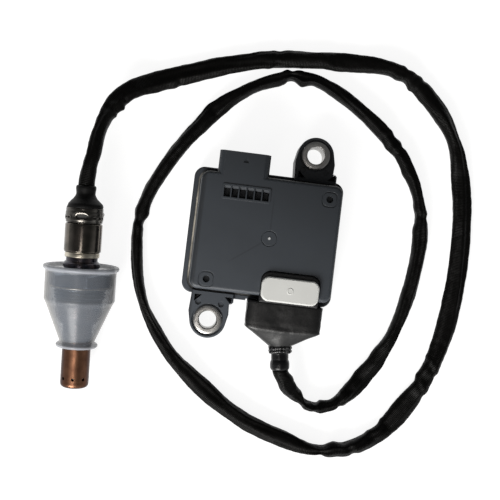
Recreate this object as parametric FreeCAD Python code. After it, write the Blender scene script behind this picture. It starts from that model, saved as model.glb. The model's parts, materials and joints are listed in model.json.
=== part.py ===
import FreeCAD, Part
import math
import os

# Nitrogen oxide sensor: a control unit and a probe joined by one fixed, sleeved lead.
# Millimetres. The origin is the centre of the control unit's flat back face, which lies on the ground.
# X runs along the unit's long side, Y towards its connector, Z up. The lead and the probe lie beside it.

# General fits
seat_gap = 0.1          # a piece seated in another of the same unit
free_gap = 0.3          # pieces that only lie close to each other
spin_gap = 0.05         # radial running fit of the captive nut

# Control unit: cover
cover_length = 67.9     # along X
cover_width = 56.4      # along Y
cover_corner = 4.6
cover_top = 25.0
cover_draft = 0.85      # how far each wall leans in over its height
cover_wall = 2.0
cover_edge = 1.7        # rounding of the top edge
sealant_width = 0.8
sealant_top = 9.2

# Control unit: lower case, whose lip runs round the cover
lip_left = 3.0          # from the case's edge to the cover's foot
lip_right = 1.4
lip_side = 2.1          # the same along Y
lip_bevel = 0.4
case_corner = 5.0
case_height = 9.5
case_floor = 2.0
case_bevel = 0.8
lip_ledge_z = 6.5       # the cover's skirt stands on this ledge
ledge_reach = 0.5       # how far the ledge passes the skirt's inner face
back_recess = 0.6       # depth of the shallow fields in the back face
back_rib = 2.4
back_margin = 6.0
back_column_count = 4
back_row_count = 3
tab_inset = 25.55       # small tab on the front edge, from the case's left edge
tab_width = 5.8
tab_reach = 0.8
tab_bottom = 1.0

# Connector shroud on the +Y side, with its socket
shroud_inset = 19.85    # of its middle from the cover's left foot
shroud_width = 24.0
shroud_height = 15.2
shroud_out = 7.4        # how far its mouth stands out past the case's edge
shroud_wall = 1.7
shroud_corner = 3.0
socket_corner = 2.0
socket_depth = 15.2
socket_block_depth = 7.5
pin_count = 6
pin_pitch = 3.0
pin_side = 0.8
pin_recess = 4.7        # from the mouth back to the pin tips
pin_heel_gap = 2.6      # from the block behind the socket to where the pins turn down
pin_foot = 0.6          # how far the pins pass the board

# Moulded marks on the cover
window_count = 6
window_pitch = 3.6
window_width = 3.0
window_depth = 5.2      # along Y
window_ramp = 1.0       # slope at each window's far end
window_sink = 4.8
window_inset_x = 22.25  # of the row's middle from the cover's left and back foot
window_inset_y = 9.4
frame_margin = 0.9
frame_rise = 0.35
mark_root = 0.5         # how deep a raised mark reaches into the wall it stands on
gate_x = 2.1
gate_y = -0.7
gate_ring = 3.8
gate_line = 0.5
gate_sink = 0.2
gate_dot = 0.7
dimple_right_inset = (6.75, 7.5)    # from the cover's right and back foot
dimple_left_inset = (8.45, 5.5)     # from the cover's left and front foot
dimple_hole = 1.6
dimple_depth = 3.0
dimple_side = 7.4
dimple_round = 0.7      # corner radius of its frame as a part of the half side
dimple_line = 0.6
dimple_sink = 0.25
dimple_boss = 3.0
arrow_shift = 0.6       # from the shroud's middle
arrow_inset = 3.5       # from the shroud's mouth
arrow_side = 2.6
arrow_sink = 0.6

# Mounting ears and their sleeves, on opposite corners
bush_right_inset = 15.55 # upper sleeve, from the case's right edge
bush_back_out = 11.6     # and past its back edge
bush_left_inset = 14.45  # lower sleeve, from the case's left edge
bush_front_out = 12.0    # and past its front edge
bush_outer = 6.7        # radius
bush_bore = 4.2         # radius
bush_height = 12.2
bush_bevel = 0.5        # on the bore's edge
bush_rim_width = 0.8    # bevel on the outer edge
bush_rim_drop = 0.4
ear_height = 11.8
ear_bevel = 0.4
ear_end = 8.7           # radius of the ear's rounded end about the sleeve
ear_half = 9.6          # half width where the ear is widest
ear_widest = 3.5        # from the sleeve's centre towards the case
ear_root_half = 9.1     # half width where it leaves the case
ear_groove = 1.0        # width and depth of the groove round the sleeve
shoulder_half = 11.2    # half width on the side with the shoulder
shoulder_reach = 3.6
shoulder_cut = 1.0
pocket_side = 3.5
pocket_depth = 7.0
pocket_wall = 1.6
pocket_shoulder_wall = 0.9
pip_x = 5.5
pip_out = 4.0           # from the case's edge
pip_radius = 1.4
pip_sink = 0.8

# Circuit board and what stands on it
board_gap = 0.8
board_bottom = 5.2
board_thick = 1.6
post_radius = 2.4
post_inset = 5.5
peg_radius = 1.0
peg_rise = 0.6
chip_insets = [(15.85, 18.9), (37.85, 26.9)]     # first two chips, from the board's left and front edge
chip_right_inset = (12.45, 33.9)                 # third chip, from its right and front edge
chip_sizes = [(12.0, 12.0, 1.6), (9.0, 9.0, 1.2), (6.0, 5.0, 1.4)]
chip_bevel = 0.2
capacitor_inset = 5.0   # of the row of two, from the board's left edge
capacitor_clear = 7.8   # from the row to the socket's block
capacitor_pitch = 10.0
capacitor_bay_clear = 9.65      # from the third one to the bay's wall
capacitor_front_inset = 4.9     # and from the board's front edge
capacitor_radius = 3.2
capacitor_base = 0.8
capacitor_height = 8.0
capacitor_edge = 0.4

# Bay in the cover for the lead's plug, and the plug
bay_inset = 20.25       # of the bay's middle from the cover's right foot
bay_width = 27.8
bay_depth = 14.9        # from the case's front edge to the bay's back wall
bay_corner = 4.5
bay_floor = 10.8
bay_wall = 1.6
plug_tail = 5.3         # how far the plug stands out past the case's edge
plug_rise = 0.3         # how far the plug stands above the cover
plug_bevel = 0.6
plug_flange = 1.8
plug_tail_top = 19.4
terminal_count = 8
terminal_pitch = 3.2
terminal_side = 2.2
terminal_bore = 1.1
terminal_z = 15.2
terminal_length = 12.0
terminal_recess = 1.0   # from the plug's front face back to the terminals
header_reach = 7.0      # how far the header pins pass the bay's back wall
header_heel_gap = 1.6   # from the bay's wall to where the header pins turn down
cap_inset = 8.4         # from the bay's back wall to the cap's middle
cap_length = 26.9
cap_width = 11.5
cap_corner = 3.6
cap_rise = 2.7          # thickness of the cap's plate
cap_edge = 0.9
cap_leg = 1.6
cap_leg_half = 3.0
cap_leg_depth = 4.0
cap_gate = 1.1
cap_gate_rise = 0.12

# Boot over the plug's tail and the lead's neck
boot_past_left = 4.6    # how far the boot passes the bay on its left
boot_past_right = 3.4
boot_bottom = 4.0
boot_top = 21.0
boot_depth = 12.3       # straight part, along Y
boot_funnel = 8.4       # length over which it narrows
boot_wall = 1.3
boot_corner = 2.2
neck_shift = -0.3       # of the neck from the bay's middle
neck_z = 11.0
neck_turn = 6.9         # degrees, the neck leans towards +X
neck_radius = 5.1
collar_radius = 5.6
collar_valley = 4.9     # radius between the ridges
collar_length = 3.0
collar_ridge_count = 2
sleeve_radius = 4.3
sleeve_length = 8.3
sleeve_bulge = 4.7
bulge_start = 4.6       # distances back from the sleeve's end
bulge_full = 3.4
bulge_end = 1.0
wire_radius = 0.7
wire_circle = 2.4
wire_lead_in = 5.0      # straight stretch of each wire before the neck
wire_turn_gap = 2.5     # from the plug's tail to where the wires turn

# Lead
lead_radius = 3.75
lead_ground = 3.8       # height of its centre line where it lies on the ground
lead_out = 5.4          # straight run out of the neck sleeve
lead_in = 7.5           # straight run into the probe's grommet
lead_bore = 3.2         # radius of the rubber parts' bore round the wires
lead_seat = 3.85        # radius of the neck sleeve's end round the lead

# Probe: distances along its axis from the grommet's face, and radii
probe_x = -85.0
probe_y = 13.6
probe_heading = 2.8     # degrees from -Y towards +X
grommet_radius = 4.5
grommet_swell = 4.7
grommet_collar = 4.4
grommet_flare_end = 9.6
grommet_edge = 0.1      # its flare stays this much inside the ferrule's edge
grommet_step = 1.4      # length of the seat inside the ferrule
grommet_plug = 1.6      # the plug's radius is this much smaller than the seat's
grommet_plug_gap = 2.0  # the plug ends this much before the ferrule does
ferrule_start = 10.4
ferrule_end = 17.2
ferrule_radius = 8.5
ferrule_wall = 0.5
ferrule_bead = 0.2      # the middle part stands out by this much
ferrule_bead_start = 1.6
ferrule_bead_rise = 0.4     # length over which it stands out
ferrule_bead_end = 0.6
ferrule_bead_fall = 0.8     # length over which it draws back in
vent_u = 14.2
vent_width = 5.6
vent_height = 2.5
vent_count = 3
slot_flat = 0.1         # straight stretch in the middle of each slot's round ends
crimp_slot_length = 1.6
crimp_slot_width = 0.7
crimp_slot_angles = (40, 58, 76)
crimp_slot_shift = 0.6
tube_start = 17.6
tube_radius = 8.6
tube_wall = 0.8
tube_round = 1.0
tube_bevel = 0.4        # how far its upper end draws in
tube_bevel_length = 0.5
weld_start = 31.2
weld_length = 2.3
weld_radius = 8.0
weld_bevel = 0.3
weld_bevel_length = 0.4
shell_neck = 7.3
neck_end = 35.2
flare_radius = 8.7
flare_rise = 1.2
flare_end = 38.0
barrel_radius = 7.9
body_start = 53.6
body_end = 60.6
body_radius = 10.9
body_bevel = 0.4
seat_end = 64.2
seat_radius = 8.6
lower_radius = 7.0
shell_end = 72.4
shell_bore = 5.0
groove_count = 4
groove_lead = 2.0
groove_width = 0.5
groove_sink = 0.25
hex_start = 40.5
hex_end = 46.4
hex_flats = 27.0
hex_corner = 15.3       # radius that the hexagon's corners are turned down to
hex_bevel = 1.0
hex_turn = 8.0          # degrees
gasket_end = 47.4
gasket_outer = 14.2
thread_end = 53.0
thread_radius = 12.0
thread_relief = 0.8
thread_relief_length = 1.5
protector_radius = 6.6
protector_wall = 0.5
protector_end = 95.4
dome_start = 93.0
dome_crown = 0.5        # rise of the end's middle
end_hole_radius = 1.0
gas_hole_radius = 0.75
gas_hole_u = 90.3
gas_hole_count = 8
inner_protector_radius = 4.4
inner_protector_end = 91.4
inner_protector_collar = 1.6
inner_protector_hole = 1.2
inner_hole_u = 80.5
inner_hole_count = 6
element_end = 89.0
element_width = 4.2
element_thick = 1.4
element_bevel = 0.4
insulator_start = 40.1
insulator_lengths = (9.0, 6.7, 12.6)
block_length = 7.3
block_radius = 6.6
block_bevel = 0.4
block_lip = 1.5         # from the block's start to the element's start
spring_count = 4
spring_width = 1.4
spring_thick = 0.3
filter_wall = 0.9
filter_gap = 0.5        # from the grommet's seat
filter_end_gap = 1.2    # from the ferrule's end
probe_wire_count = 6
probe_wire_circle = 2.4

# Protective cap pushed over the nut
shield_inner = 15.6
shield_wall = 0.8
shield_rim_start = 37.3
shield_rim_end = 39.3
shield_rim_radius = 17.6
shield_rim_round = 0.6
shield_cone_start = 53.6
shield_shoulder = 0.7   # how far the shoulder draws in over its first millimetre
shield_cone_end = 73.0
shield_neck = 7.2       # inner radius where the cone ends
shield_foot_start = 73.7
shield_foot_end = 75.8
shield_foot_radius = 9.7
shield_foot_round = 0.7

# Sizes that follow from the ones above
case_length = cover_length + lip_left + lip_right
case_width = cover_width + 2 * lip_side
cover_shift = (lip_left - lip_right) / 2
case_front = -case_width / 2
case_back = case_width / 2
skirt_left = cover_shift - cover_length / 2
skirt_right = cover_shift + cover_length / 2
skirt_half = cover_width / 2
case_left = -case_length / 2
case_right = case_length / 2
bush_upper_place = (case_right - bush_right_inset, case_back + bush_back_out)
bush_lower_place = (case_left + bush_left_inset, case_front - bush_front_out)
shroud_x = skirt_left + shroud_inset
bay_x = skirt_right - bay_inset
window_x = skirt_left + window_inset_x
window_y = skirt_half - window_inset_y
dimple_places = [
    (skirt_right - dimple_right_inset[0], skirt_half - dimple_right_inset[1]),
    (skirt_left + dimple_left_inset[0], -skirt_half + dimple_left_inset[1]),
]
arrow_x = shroud_x + arrow_shift
shroud_reach = case_back + shroud_out
socket_back = shroud_reach - socket_depth
socket_block = socket_back - socket_block_depth
pin_tip = shroud_reach - pin_recess
pin_heel = socket_block - pin_heel_gap
pin_z = cover_top - shroud_height / 2
bay_left = bay_x - bay_width / 2
bay_right = bay_x + bay_width / 2
bay_back = case_front + bay_depth
board_inset = cover_wall + ledge_reach + board_gap
board_left = skirt_left + board_inset
board_right = skirt_right - board_inset
board_front = -skirt_half + board_inset
chip_places = [(board_left + across, board_front + along) for across, along in chip_insets]
chip_places.append((board_right - chip_right_inset[0], board_front + chip_right_inset[1]))
capacitor_y = socket_block - capacitor_clear - capacitor_radius
capacitor_places = [
    (board_left + capacitor_inset, capacitor_y),
    (board_left + capacitor_inset, capacitor_y - capacitor_pitch),
    (bay_left - bay_wall - capacitor_bay_clear - capacitor_radius, board_front + capacitor_front_inset),
]
board_top = board_bottom + board_thick
header_heel = bay_back + bay_wall + header_heel_gap
plug_left = bay_left + free_gap
plug_right = bay_right - free_gap
plug_front = bay_back - free_gap
plug_end = case_front - plug_tail
plug_top = cover_top + plug_rise
terminal_front = plug_front - terminal_recess
cap_y = bay_back - cap_inset
cap_top = plug_top + cap_rise
boot_left = bay_left - boot_past_left
boot_right = bay_right + boot_past_right
boot_start = case_front
boot_straight = boot_start - boot_depth
neck_x = bay_x + neck_shift
neck_y = boot_straight - boot_funnel
window_reach = ((window_count - 1) * window_pitch + window_width) / 2
tube_end = weld_start + weld_length
block_end = weld_start - 2 * seat_gap
block_start = block_end - block_length
element_start = block_start + block_lip
insulator_end = insulator_start + sum(insulator_lengths) + seat_gap * (len(insulator_lengths) - 1)
inner_protector_foot = insulator_end + seat_gap
shield_outer = shield_inner + shield_wall

# The probe lies on the cap's rim and on the cap's shoulder, so its tip hangs free of the ground.
rim_touch = shield_rim_end - shield_rim_round
probe_slope = math.atan((shield_rim_radius - shield_outer) / (shield_cone_start - rim_touch))
probe_tilt = math.degrees(probe_slope)
probe_z = shield_outer * math.cos(probe_slope) + shield_cone_start * math.sin(probe_slope)
probe_turn = FreeCAD.Rotation(FreeCAD.Vector(0, 0, 1), probe_heading)
probe_lean = FreeCAD.Rotation(FreeCAD.Vector(1, 0, 0), 90 + probe_tilt)
probe_place = FreeCAD.Placement(FreeCAD.Vector(probe_x, probe_y, probe_z), probe_turn.multiply(probe_lean))
neck_dir = FreeCAD.Vector(math.sin(math.radians(neck_turn)), -math.cos(math.radians(neck_turn)), 0)
neck_spin = FreeCAD.Rotation(FreeCAD.Vector(0, 0, 1), neck_turn)
neck_lay = FreeCAD.Rotation(FreeCAD.Vector(1, 0, 0), 90)
neck_place = FreeCAD.Placement(FreeCAD.Vector(neck_x, neck_y, neck_z), neck_spin.multiply(neck_lay))
sleeve_end = collar_length + sleeve_length
sleeve_end_point = neck_place.multVec(FreeCAD.Vector(0, 0, sleeve_end))
lead_start_lead_out = neck_place.multVec(FreeCAD.Vector(0, 0, sleeve_end + lead_out))
lead_end_point = probe_place.multVec(FreeCAD.Vector(0, 0, 0))
lead_end_lead_in = probe_place.multVec(FreeCAD.Vector(0, 0, -lead_in))

# The lead's route: from the neck sleeve down to the ground, once and a half round the unit, up to the probe.
lead_route = [
    (19.0, -72.2, 9.2),
    (25.2, -77.0, 5.4),
    (32.4, -80.9, lead_ground),
    (40.0, -81.0, lead_ground),
    (50.4, -72.8, lead_ground),
    (58.4, -61.8, lead_ground),
    (66.2, -46.0, lead_ground),
    (73.4, -24.0, lead_ground),
    (78.0, 3.0, lead_ground),
    (74.2, 30.2, lead_ground),
    (61.2, 51.8, lead_ground),
    (41.2, 68.4, lead_ground),
    (20.2, 78.4, lead_ground),
    (1.0, 80.4, lead_ground),
    (-20.8, 68.2, lead_ground),
    (-41.0, 45.8, lead_ground),
    (-56.8, 16.8, lead_ground),
    (-61.4, -8.0, lead_ground),
    (-56.4, -32.6, lead_ground),
    (-43.6, -54.6, lead_ground),
    (-22.4, -75.6, lead_ground),
    (5.0, -91.6, lead_ground),
    (37.2, -102.6, lead_ground),
    (65.2, -92.6, lead_ground),
    (85.1, -68.4, lead_ground),
    (96.0, -36.7, lead_ground),
    (98.4, -1.5, lead_ground),
    (96.4, 34.0, lead_ground),
    (86.4, 64.4, lead_ground),
    (65.4, 87.9, lead_ground),
    (36.3, 91.7, lead_ground),
    (0.0, 87.8, lead_ground),
    (-36.4, 78.7, lead_ground),
    (-63.6, 67.7, 6.4),
    (-78.2, 54.9, 12.0),
    (-82.9, 40.3, 17.5),
    (-83.7, 29.0, 20.4),
]


def rounded_outline(left, right, front, back, radius, z):
    """Closed wire of a rectangle with round corners, level at height z."""
    def at(x, y):
        return FreeCAD.Vector(x, y, z)

    diag = radius * (1 - math.sqrt(0.5))
    edges = [
        Part.makeLine(at(left + radius, front), at(right - radius, front)),
        Part.Arc(at(right - radius, front), at(right - diag, front + diag),
                 at(right, front + radius)).toShape(),
        Part.makeLine(at(right, front + radius), at(right, back - radius)),
        Part.Arc(at(right, back - radius), at(right - diag, back - diag),
                 at(right - radius, back)).toShape(),
        Part.makeLine(at(right - radius, back), at(left + radius, back)),
        Part.Arc(at(left + radius, back), at(left + diag, back - diag), at(left, back - radius)).toShape(),
        Part.makeLine(at(left, back - radius), at(left, front + radius)),
        Part.Arc(at(left, front + radius), at(left + diag, front + diag),
                 at(left + radius, front)).toShape(),
    ]
    return Part.Wire(edges)


def rounded_block(left, right, front, back, radius, bottom, top):
    face = Part.Face(rounded_outline(left, right, front, back, radius, bottom))
    return face.extrude(FreeCAD.Vector(0, 0, top - bottom))


def block(left, right, front, back, bottom, top):
    return Part.makeBox(right - left, back - front, top - bottom, FreeCAD.Vector(left, front, bottom))


def upright(radius, bottom, top, x, y):
    return Part.makeCylinder(radius, top - bottom, FreeCAD.Vector(x, y, bottom))


def prism(points, bottom, top):
    corners = [FreeCAD.Vector(x, y, bottom) for x, y in points]
    face = Part.Face(Part.makePolygon(corners + corners[:1]))
    return face.extrude(FreeCAD.Vector(0, 0, top - bottom))


def turned(profile):
    """Solid of revolution about Z from points given as radius and height."""
    corners = [FreeCAD.Vector(r, 0, u) for r, u in profile]
    face = Part.Face(Part.makePolygon(corners + corners[:1]))
    return face.revolve(FreeCAD.Vector(0, 0, 0), FreeCAD.Vector(0, 0, 1), 360)


def ring(outer, inner, start, end):
    return turned([(inner, start), (outer, start), (outer, end), (inner, end)])


def level_edges(shape, z):
    """The edges of a shape that lie wholly at height z."""
    found = []
    for edge in shape.Edges:
        box = edge.BoundBox
        if abs(box.ZMin - z) < 1e-4 and abs(box.ZMax - z) < 1e-4:
            found.append(edge)
    return found


def one_solid(shape):
    """The single solid that a chain of cuts and joins leaves."""
    clean = shape.removeSplitter()
    if len(clean.Solids) == 1:
        return clean.Solids[0]
    return clean


def smooth_path(points):
    """Straight runs joined by tangent arcs, each arc as large as its two runs allow."""
    edges = []
    radii = []
    here = points[0]
    for before, corner, after in zip(points, points[1:], points[2:]):
        back = (before - corner).normalize()
        ahead = (after - corner).normalize()
        turn = math.pi - back.getAngle(ahead)
        setback = 0.45 * min(before.distanceToPoint(corner), after.distanceToPoint(corner))
        radius = setback / math.tan(turn / 2)
        entry = corner + back * setback
        leave = corner + ahead * setback
        towards = (back + ahead).normalize()
        middle = corner + towards * (radius / math.cos(turn / 2) - radius)
        edges.append(Part.LineSegment(here, entry).toShape())
        edges.append(Part.Arc(entry, middle, leave).toShape())
        radii.append(radius)
        here = leave
    edges.append(Part.LineSegment(here, points[-1]).toShape())
    return Part.Wire(edges), radii


def tube_along(points, radius):
    """A round tube that follows the smooth path through the points."""
    path, radii = smooth_path(points)
    start = points[0]
    section = Part.Wire([Part.makeCircle(radius, start, points[1] - start)])
    return path.makePipeShell([section], True, False), path, radii


def export(shape, name):
    shape.exportStep("parts/" + name + ".step")
    print(name, len(shape.Solids), round(shape.Volume, 1), shape.isValid())


def ear_plan(shoulder_side, edge_y):
    """One ear about its sleeve's centre: a round end, flanks tangent to it, and a root inside the case.

    edge_y is where the case's edge lies, the sleeve's centre being at 0.
    """
    root = edge_y - case_corner
    reach = math.hypot(ear_half, ear_widest)
    lift = math.acos(ear_end / reach) - math.atan2(ear_widest, ear_half)
    touch_x = ear_end * math.cos(lift)
    touch_y = ear_end * math.sin(lift)
    right = [(ear_half, -ear_widest), (ear_root_half, edge_y), (ear_root_half, root)]
    points = [FreeCAD.Vector(touch_x, touch_y, 0)]
    points += [FreeCAD.Vector(x, y, 0) for x, y in right]
    points += [FreeCAD.Vector(-x, y, 0) for x, y in reversed(right)]
    points.append(FreeCAD.Vector(-touch_x, touch_y, 0))
    edges = [Part.makeLine(a, b) for a, b in zip(points, points[1:])]
    edges.append(Part.Arc(points[-1], FreeCAD.Vector(0, ear_end, 0), points[0]).toShape())
    plan = Part.Face(Part.Wire(edges)).extrude(FreeCAD.Vector(0, 0, ear_height))
    outer = shoulder_side * shoulder_half
    step = prism([
        (0, root),
        (outer, root),
        (outer, edge_y + shoulder_reach - shoulder_cut),
        (outer - shoulder_side * shoulder_cut, edge_y + shoulder_reach),
        (0, edge_y + shoulder_reach),
    ], 0, ear_height)
    whole = plan.fuse(step).removeSplitter()
    return whole.makeChamfer(ear_bevel, level_edges(whole, ear_height))


def make_ear(shoulder_side, edge_y):
    """One ear with the groove round its sleeve, two corner pockets and two pips."""
    ear = ear_plan(shoulder_side, edge_y)
    cuts = [ring(bush_outer + ear_groove, bush_outer - ear_groove, ear_height - ear_groove,
                 ear_height + 1.0)]
    near = edge_y + free_gap
    for side in (-1, 1):
        outer = side * (ear_root_half - pocket_wall)
        if side == shoulder_side:
            outer = side * (shoulder_half - pocket_shoulder_wall)
        cuts.append(prism([
            (outer, near),
            (outer - side * pocket_side, near),
            (outer, near + pocket_side),
        ], ear_height - pocket_depth, ear_height + 1.0))
        cuts.append(upright(pip_radius, ear_height - pip_sink, ear_height + 1.0, side * pip_x,
                            edge_y + pip_out))
    return ear.cut(cuts)


def add_ears(body):
    """Joins the two ears to the case, on opposite corners, and bores them for the sleeves."""
    for place, turn, shoulder_side, out in (
        (bush_upper_place, 0, 1, bush_back_out),
        (bush_lower_place, 180, -1, bush_front_out),
    ):
        ear = make_ear(shoulder_side, -out)
        ear.rotate(FreeCAD.Vector(0, 0, 0), FreeCAD.Vector(0, 0, 1), turn)
        ear.translate(FreeCAD.Vector(*place, 0))
        hole = upright(bush_outer + seat_gap, -1.0, ear_height + 1.0, *place)
        body = body.fuse(ear).cut(hole)
    return body


def post_places():
    """Centres of the four posts that carry the circuit board."""
    inset = cover_wall + board_gap + post_inset
    places = []
    for x in (skirt_left + inset, skirt_right - inset):
        for y in (-skirt_half + inset, skirt_half - inset):
            places.append((x, y))
    return places


def inner_outline(inset, z):
    """Outline inside the cover's skirt, moved in by a distance."""
    radius = max(cover_corner - inset, 0.8)
    return rounded_outline(skirt_left + inset, skirt_right - inset, -skirt_half + inset, skirt_half - inset,
                           radius, z)


def make_case_base():
    """Lower case: a tray with a ledge for the cover, a lip that holds the sealant, and two ears."""
    body = rounded_block(case_left, case_right, case_front, case_back, case_corner, 0, case_height)
    body = body.makeChamfer(case_bevel, level_edges(body, 0))
    body = body.makeChamfer(lip_bevel, level_edges(body, case_height))
    tab_left = case_left + tab_inset
    tab = block(tab_left, tab_left + tab_width, case_front - tab_reach, case_front + lip_side / 2,
                tab_bottom, case_height)
    body = add_ears(body.fuse(tab))
    hollow = Part.Face(inner_outline(cover_wall + ledge_reach, case_floor))
    body = body.cut(hollow.extrude(FreeCAD.Vector(0, 0, ear_height)))
    channel = Part.Face(inner_outline(-sealant_width, lip_ledge_z))
    body = body.cut(channel.extrude(FreeCAD.Vector(0, 0, ear_height)))
    pieces = []
    for x, y in post_places():
        pieces.append(upright(post_radius, case_floor, board_bottom, x, y))
        pieces.append(upright(peg_radius, board_bottom, board_top + peg_rise, x, y))
    body = body.fuse(pieces)
    field_l = (case_length - 2 * back_margin - (back_column_count - 1) * back_rib) / back_column_count
    field_w = (case_width - 2 * back_margin - (back_row_count - 1) * back_rib) / back_row_count
    fields = []
    for i in range(back_column_count):
        for j in range(back_row_count):
            left = case_left + back_margin + i * (field_l + back_rib)
            front = case_front + back_margin + j * (field_w + back_rib)
            fields.append(block(left, left + field_l, front, front + field_w, -1.0, back_recess))
    return one_solid(body.cut(fields))


def make_shroud():
    """The connector shroud as a solid bar with round corners, from the socket's block to the mouth."""
    half = shroud_width / 2
    outline = rounded_outline(-half, half, -shroud_height, 0, shroud_corner, 0)
    bar = Part.Face(outline).extrude(FreeCAD.Vector(0, 0, shroud_reach - socket_block))
    bar.rotate(FreeCAD.Vector(0, 0, 0), FreeCAD.Vector(1, 0, 0), 90)
    bar.translate(FreeCAD.Vector(shroud_x, shroud_reach, cover_top))
    return bar


def make_socket():
    """The hollow of the socket and the room for the six pins through its back wall."""
    half = shroud_width / 2 - shroud_wall
    outline = rounded_outline(-half, half, -shroud_height + shroud_wall, -shroud_wall, socket_corner, 0)
    hollow = Part.Face(outline).extrude(FreeCAD.Vector(0, 0, shroud_reach - socket_back + 1.0))
    hollow.rotate(FreeCAD.Vector(0, 0, 0), FreeCAD.Vector(1, 0, 0), 90)
    hollow.translate(FreeCAD.Vector(shroud_x, shroud_reach + 1.0, cover_top))
    rooms = [hollow]
    for x in pin_xs():
        rooms.append(block(x - pin_side / 2, x + pin_side / 2, socket_block - 1.0, socket_back + 1.0,
                           pin_z - pin_side / 2, pin_z + pin_side / 2))
    return rooms


def pin_xs():
    return [shroud_x + (i - (pin_count - 1) / 2) * pin_pitch for i in range(pin_count)]


def header_xs():
    return [bay_x + (i - (terminal_count - 1) / 2) * terminal_pitch for i in range(terminal_count)]


def cover_marks():
    """Cuts for the windows, the gate mark, the corner dimples and the shroud's small triangle."""
    cuts = []
    front = window_y - window_depth / 2
    back = window_y + window_depth / 2
    above = cover_top + frame_rise + 1.0
    for i in range(window_count):
        x = window_x + (i - (window_count - 1) / 2) * window_pitch
        side_on = [
            (front, cover_top - window_sink),
            (back - window_ramp, cover_top - window_sink),
            (back - window_ramp, cover_top - window_ramp),
            (back, cover_top),
            (back, above),
            (front, above),
        ]
        corners = [FreeCAD.Vector(x - window_width / 2, y, z) for y, z in side_on]
        face = Part.Face(Part.makePolygon(corners + corners[:1]))
        cuts.append(face.extrude(FreeCAD.Vector(window_width, 0, 0)))
    line = ring(gate_ring, gate_ring - gate_line, cover_top - gate_sink, cover_top + 1.0)
    line.translate(FreeCAD.Vector(gate_x, gate_y, 0))
    cuts.append(line)
    half = dimple_side / 2
    for x, y in dimple_places:
        cuts.append(upright(dimple_hole, cover_top - dimple_depth, cover_top + 1.0, x, y))
        outer = rounded_block(x - half, x + half, y - half, y + half, half * dimple_round,
                              cover_top - dimple_sink, cover_top + 1.0)
        slim = half - dimple_line
        inner = rounded_block(x - slim, x + slim, y - slim, y + slim, slim * dimple_round,
                              cover_top - 2 * dimple_sink, cover_top + 2.0)
        cuts.append(outer.cut(inner))
    side = arrow_side / 2
    arrow_y = shroud_reach - arrow_inset
    cuts.append(prism([(arrow_x - side, arrow_y - side), (arrow_x + side, arrow_y - side),
                       (arrow_x, arrow_y + side)], cover_top - arrow_sink, cover_top + 1.0))
    return cuts


def make_case_cover():
    """Cover with leaning walls, the connector shroud, the plug's bay and the moulded marks."""
    foot = inner_outline(0, lip_ledge_z)
    crown = inner_outline(cover_draft, cover_top)
    outer = Part.makeLoft([foot, crown], True, True)
    outer = outer.makeFillet(cover_edge, level_edges(outer, cover_top))
    hollow = Part.makeLoft([inner_outline(cover_wall, lip_ledge_z - 1.0),
                            inner_outline(cover_wall + cover_draft, cover_top - cover_wall)], True, True)
    kept = [
        block(bay_left - bay_wall, bay_right + bay_wall, -case_width, bay_back + bay_wall,
              bay_floor - bay_wall, cover_top),
        block(shroud_x - shroud_width / 2, shroud_x + shroud_width / 2, socket_block, case_width,
              cover_top - shroud_height, cover_top),
        block(window_x, window_x + window_reach + cover_wall, socket_block, window_y + window_depth,
              cover_top - window_sink - cover_wall, cover_top),
    ]
    for x, y in dimple_places:
        kept.append(upright(dimple_boss, cover_top - dimple_depth - cover_wall, cover_top, x, y))
    body = outer.cut(hollow.cut(kept))
    body = body.fuse(make_shroud())
    front = window_y - window_depth / 2 - frame_margin
    back = window_y + window_depth / 2 + frame_margin
    reach = window_reach + frame_margin
    frame = rounded_block(window_x - reach, window_x + reach, front, back, frame_margin,
                          cover_top - mark_root, cover_top + frame_rise)
    dot = upright(gate_dot, cover_top - mark_root, cover_top + gate_sink, gate_x, gate_y)
    body = body.fuse([frame, dot])
    bay = rounded_block(bay_left, bay_right, -case_width, bay_back, bay_corner, bay_floor, cover_top + 1.0)
    header_rooms = []
    half = pin_side / 2
    for x in header_xs():
        header_rooms.append(block(x - half, x + half, bay_back - 1.0, bay_back + bay_wall + 1.0,
                                  terminal_z - half, terminal_z + half))
    return one_solid(body.cut([bay] + make_socket() + header_rooms + cover_marks()))


def make_case_sealant():
    """The bead of sealant between the cover's skirt and the case's lip."""
    outer = Part.Face(inner_outline(-sealant_width, lip_ledge_z))
    inner = Part.Face(inner_outline(0, lip_ledge_z - 1.0))
    height = sealant_top - lip_ledge_z
    bead = outer.extrude(FreeCAD.Vector(0, 0, height))
    return one_solid(bead.cut(inner.extrude(FreeCAD.Vector(0, 0, height + 2.0))))


def make_bush(place):
    """Steel sleeve of one ear, bevelled at both ends, inside and out."""
    sleeve = turned([
        (bush_bore + bush_bevel, 0),
        (bush_outer - bush_rim_width, 0),
        (bush_outer, bush_rim_drop),
        (bush_outer, bush_height - bush_rim_drop),
        (bush_outer - bush_rim_width, bush_height),
        (bush_bore + bush_bevel, bush_height),
        (bush_bore, bush_height - bush_bevel),
        (bush_bore, bush_bevel),
    ])
    sleeve.translate(FreeCAD.Vector(*place, 0))
    return sleeve


def make_circuit_board():
    """The board on its four posts, with holes for the pegs and for both rows of pins."""
    outline = inner_outline(board_inset, board_bottom)
    board = Part.Face(outline).extrude(FreeCAD.Vector(0, 0, board_thick))
    holes = []
    for x, y in post_places():
        holes.append(upright(peg_radius + seat_gap, board_bottom - 1.0, board_top + 1.0, x, y))
    reach = pin_side / 2 + seat_gap
    for x in pin_xs():
        holes.append(block(x - reach, x + reach, pin_heel - reach, pin_heel + reach, board_bottom - 1.0,
                           board_top + 1.0))
    for x in header_xs():
        holes.append(block(x - reach, x + reach, header_heel - reach, header_heel + reach,
                           board_bottom - 1.0, board_top + 1.0))
    return one_solid(board.cut(holes))


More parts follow.
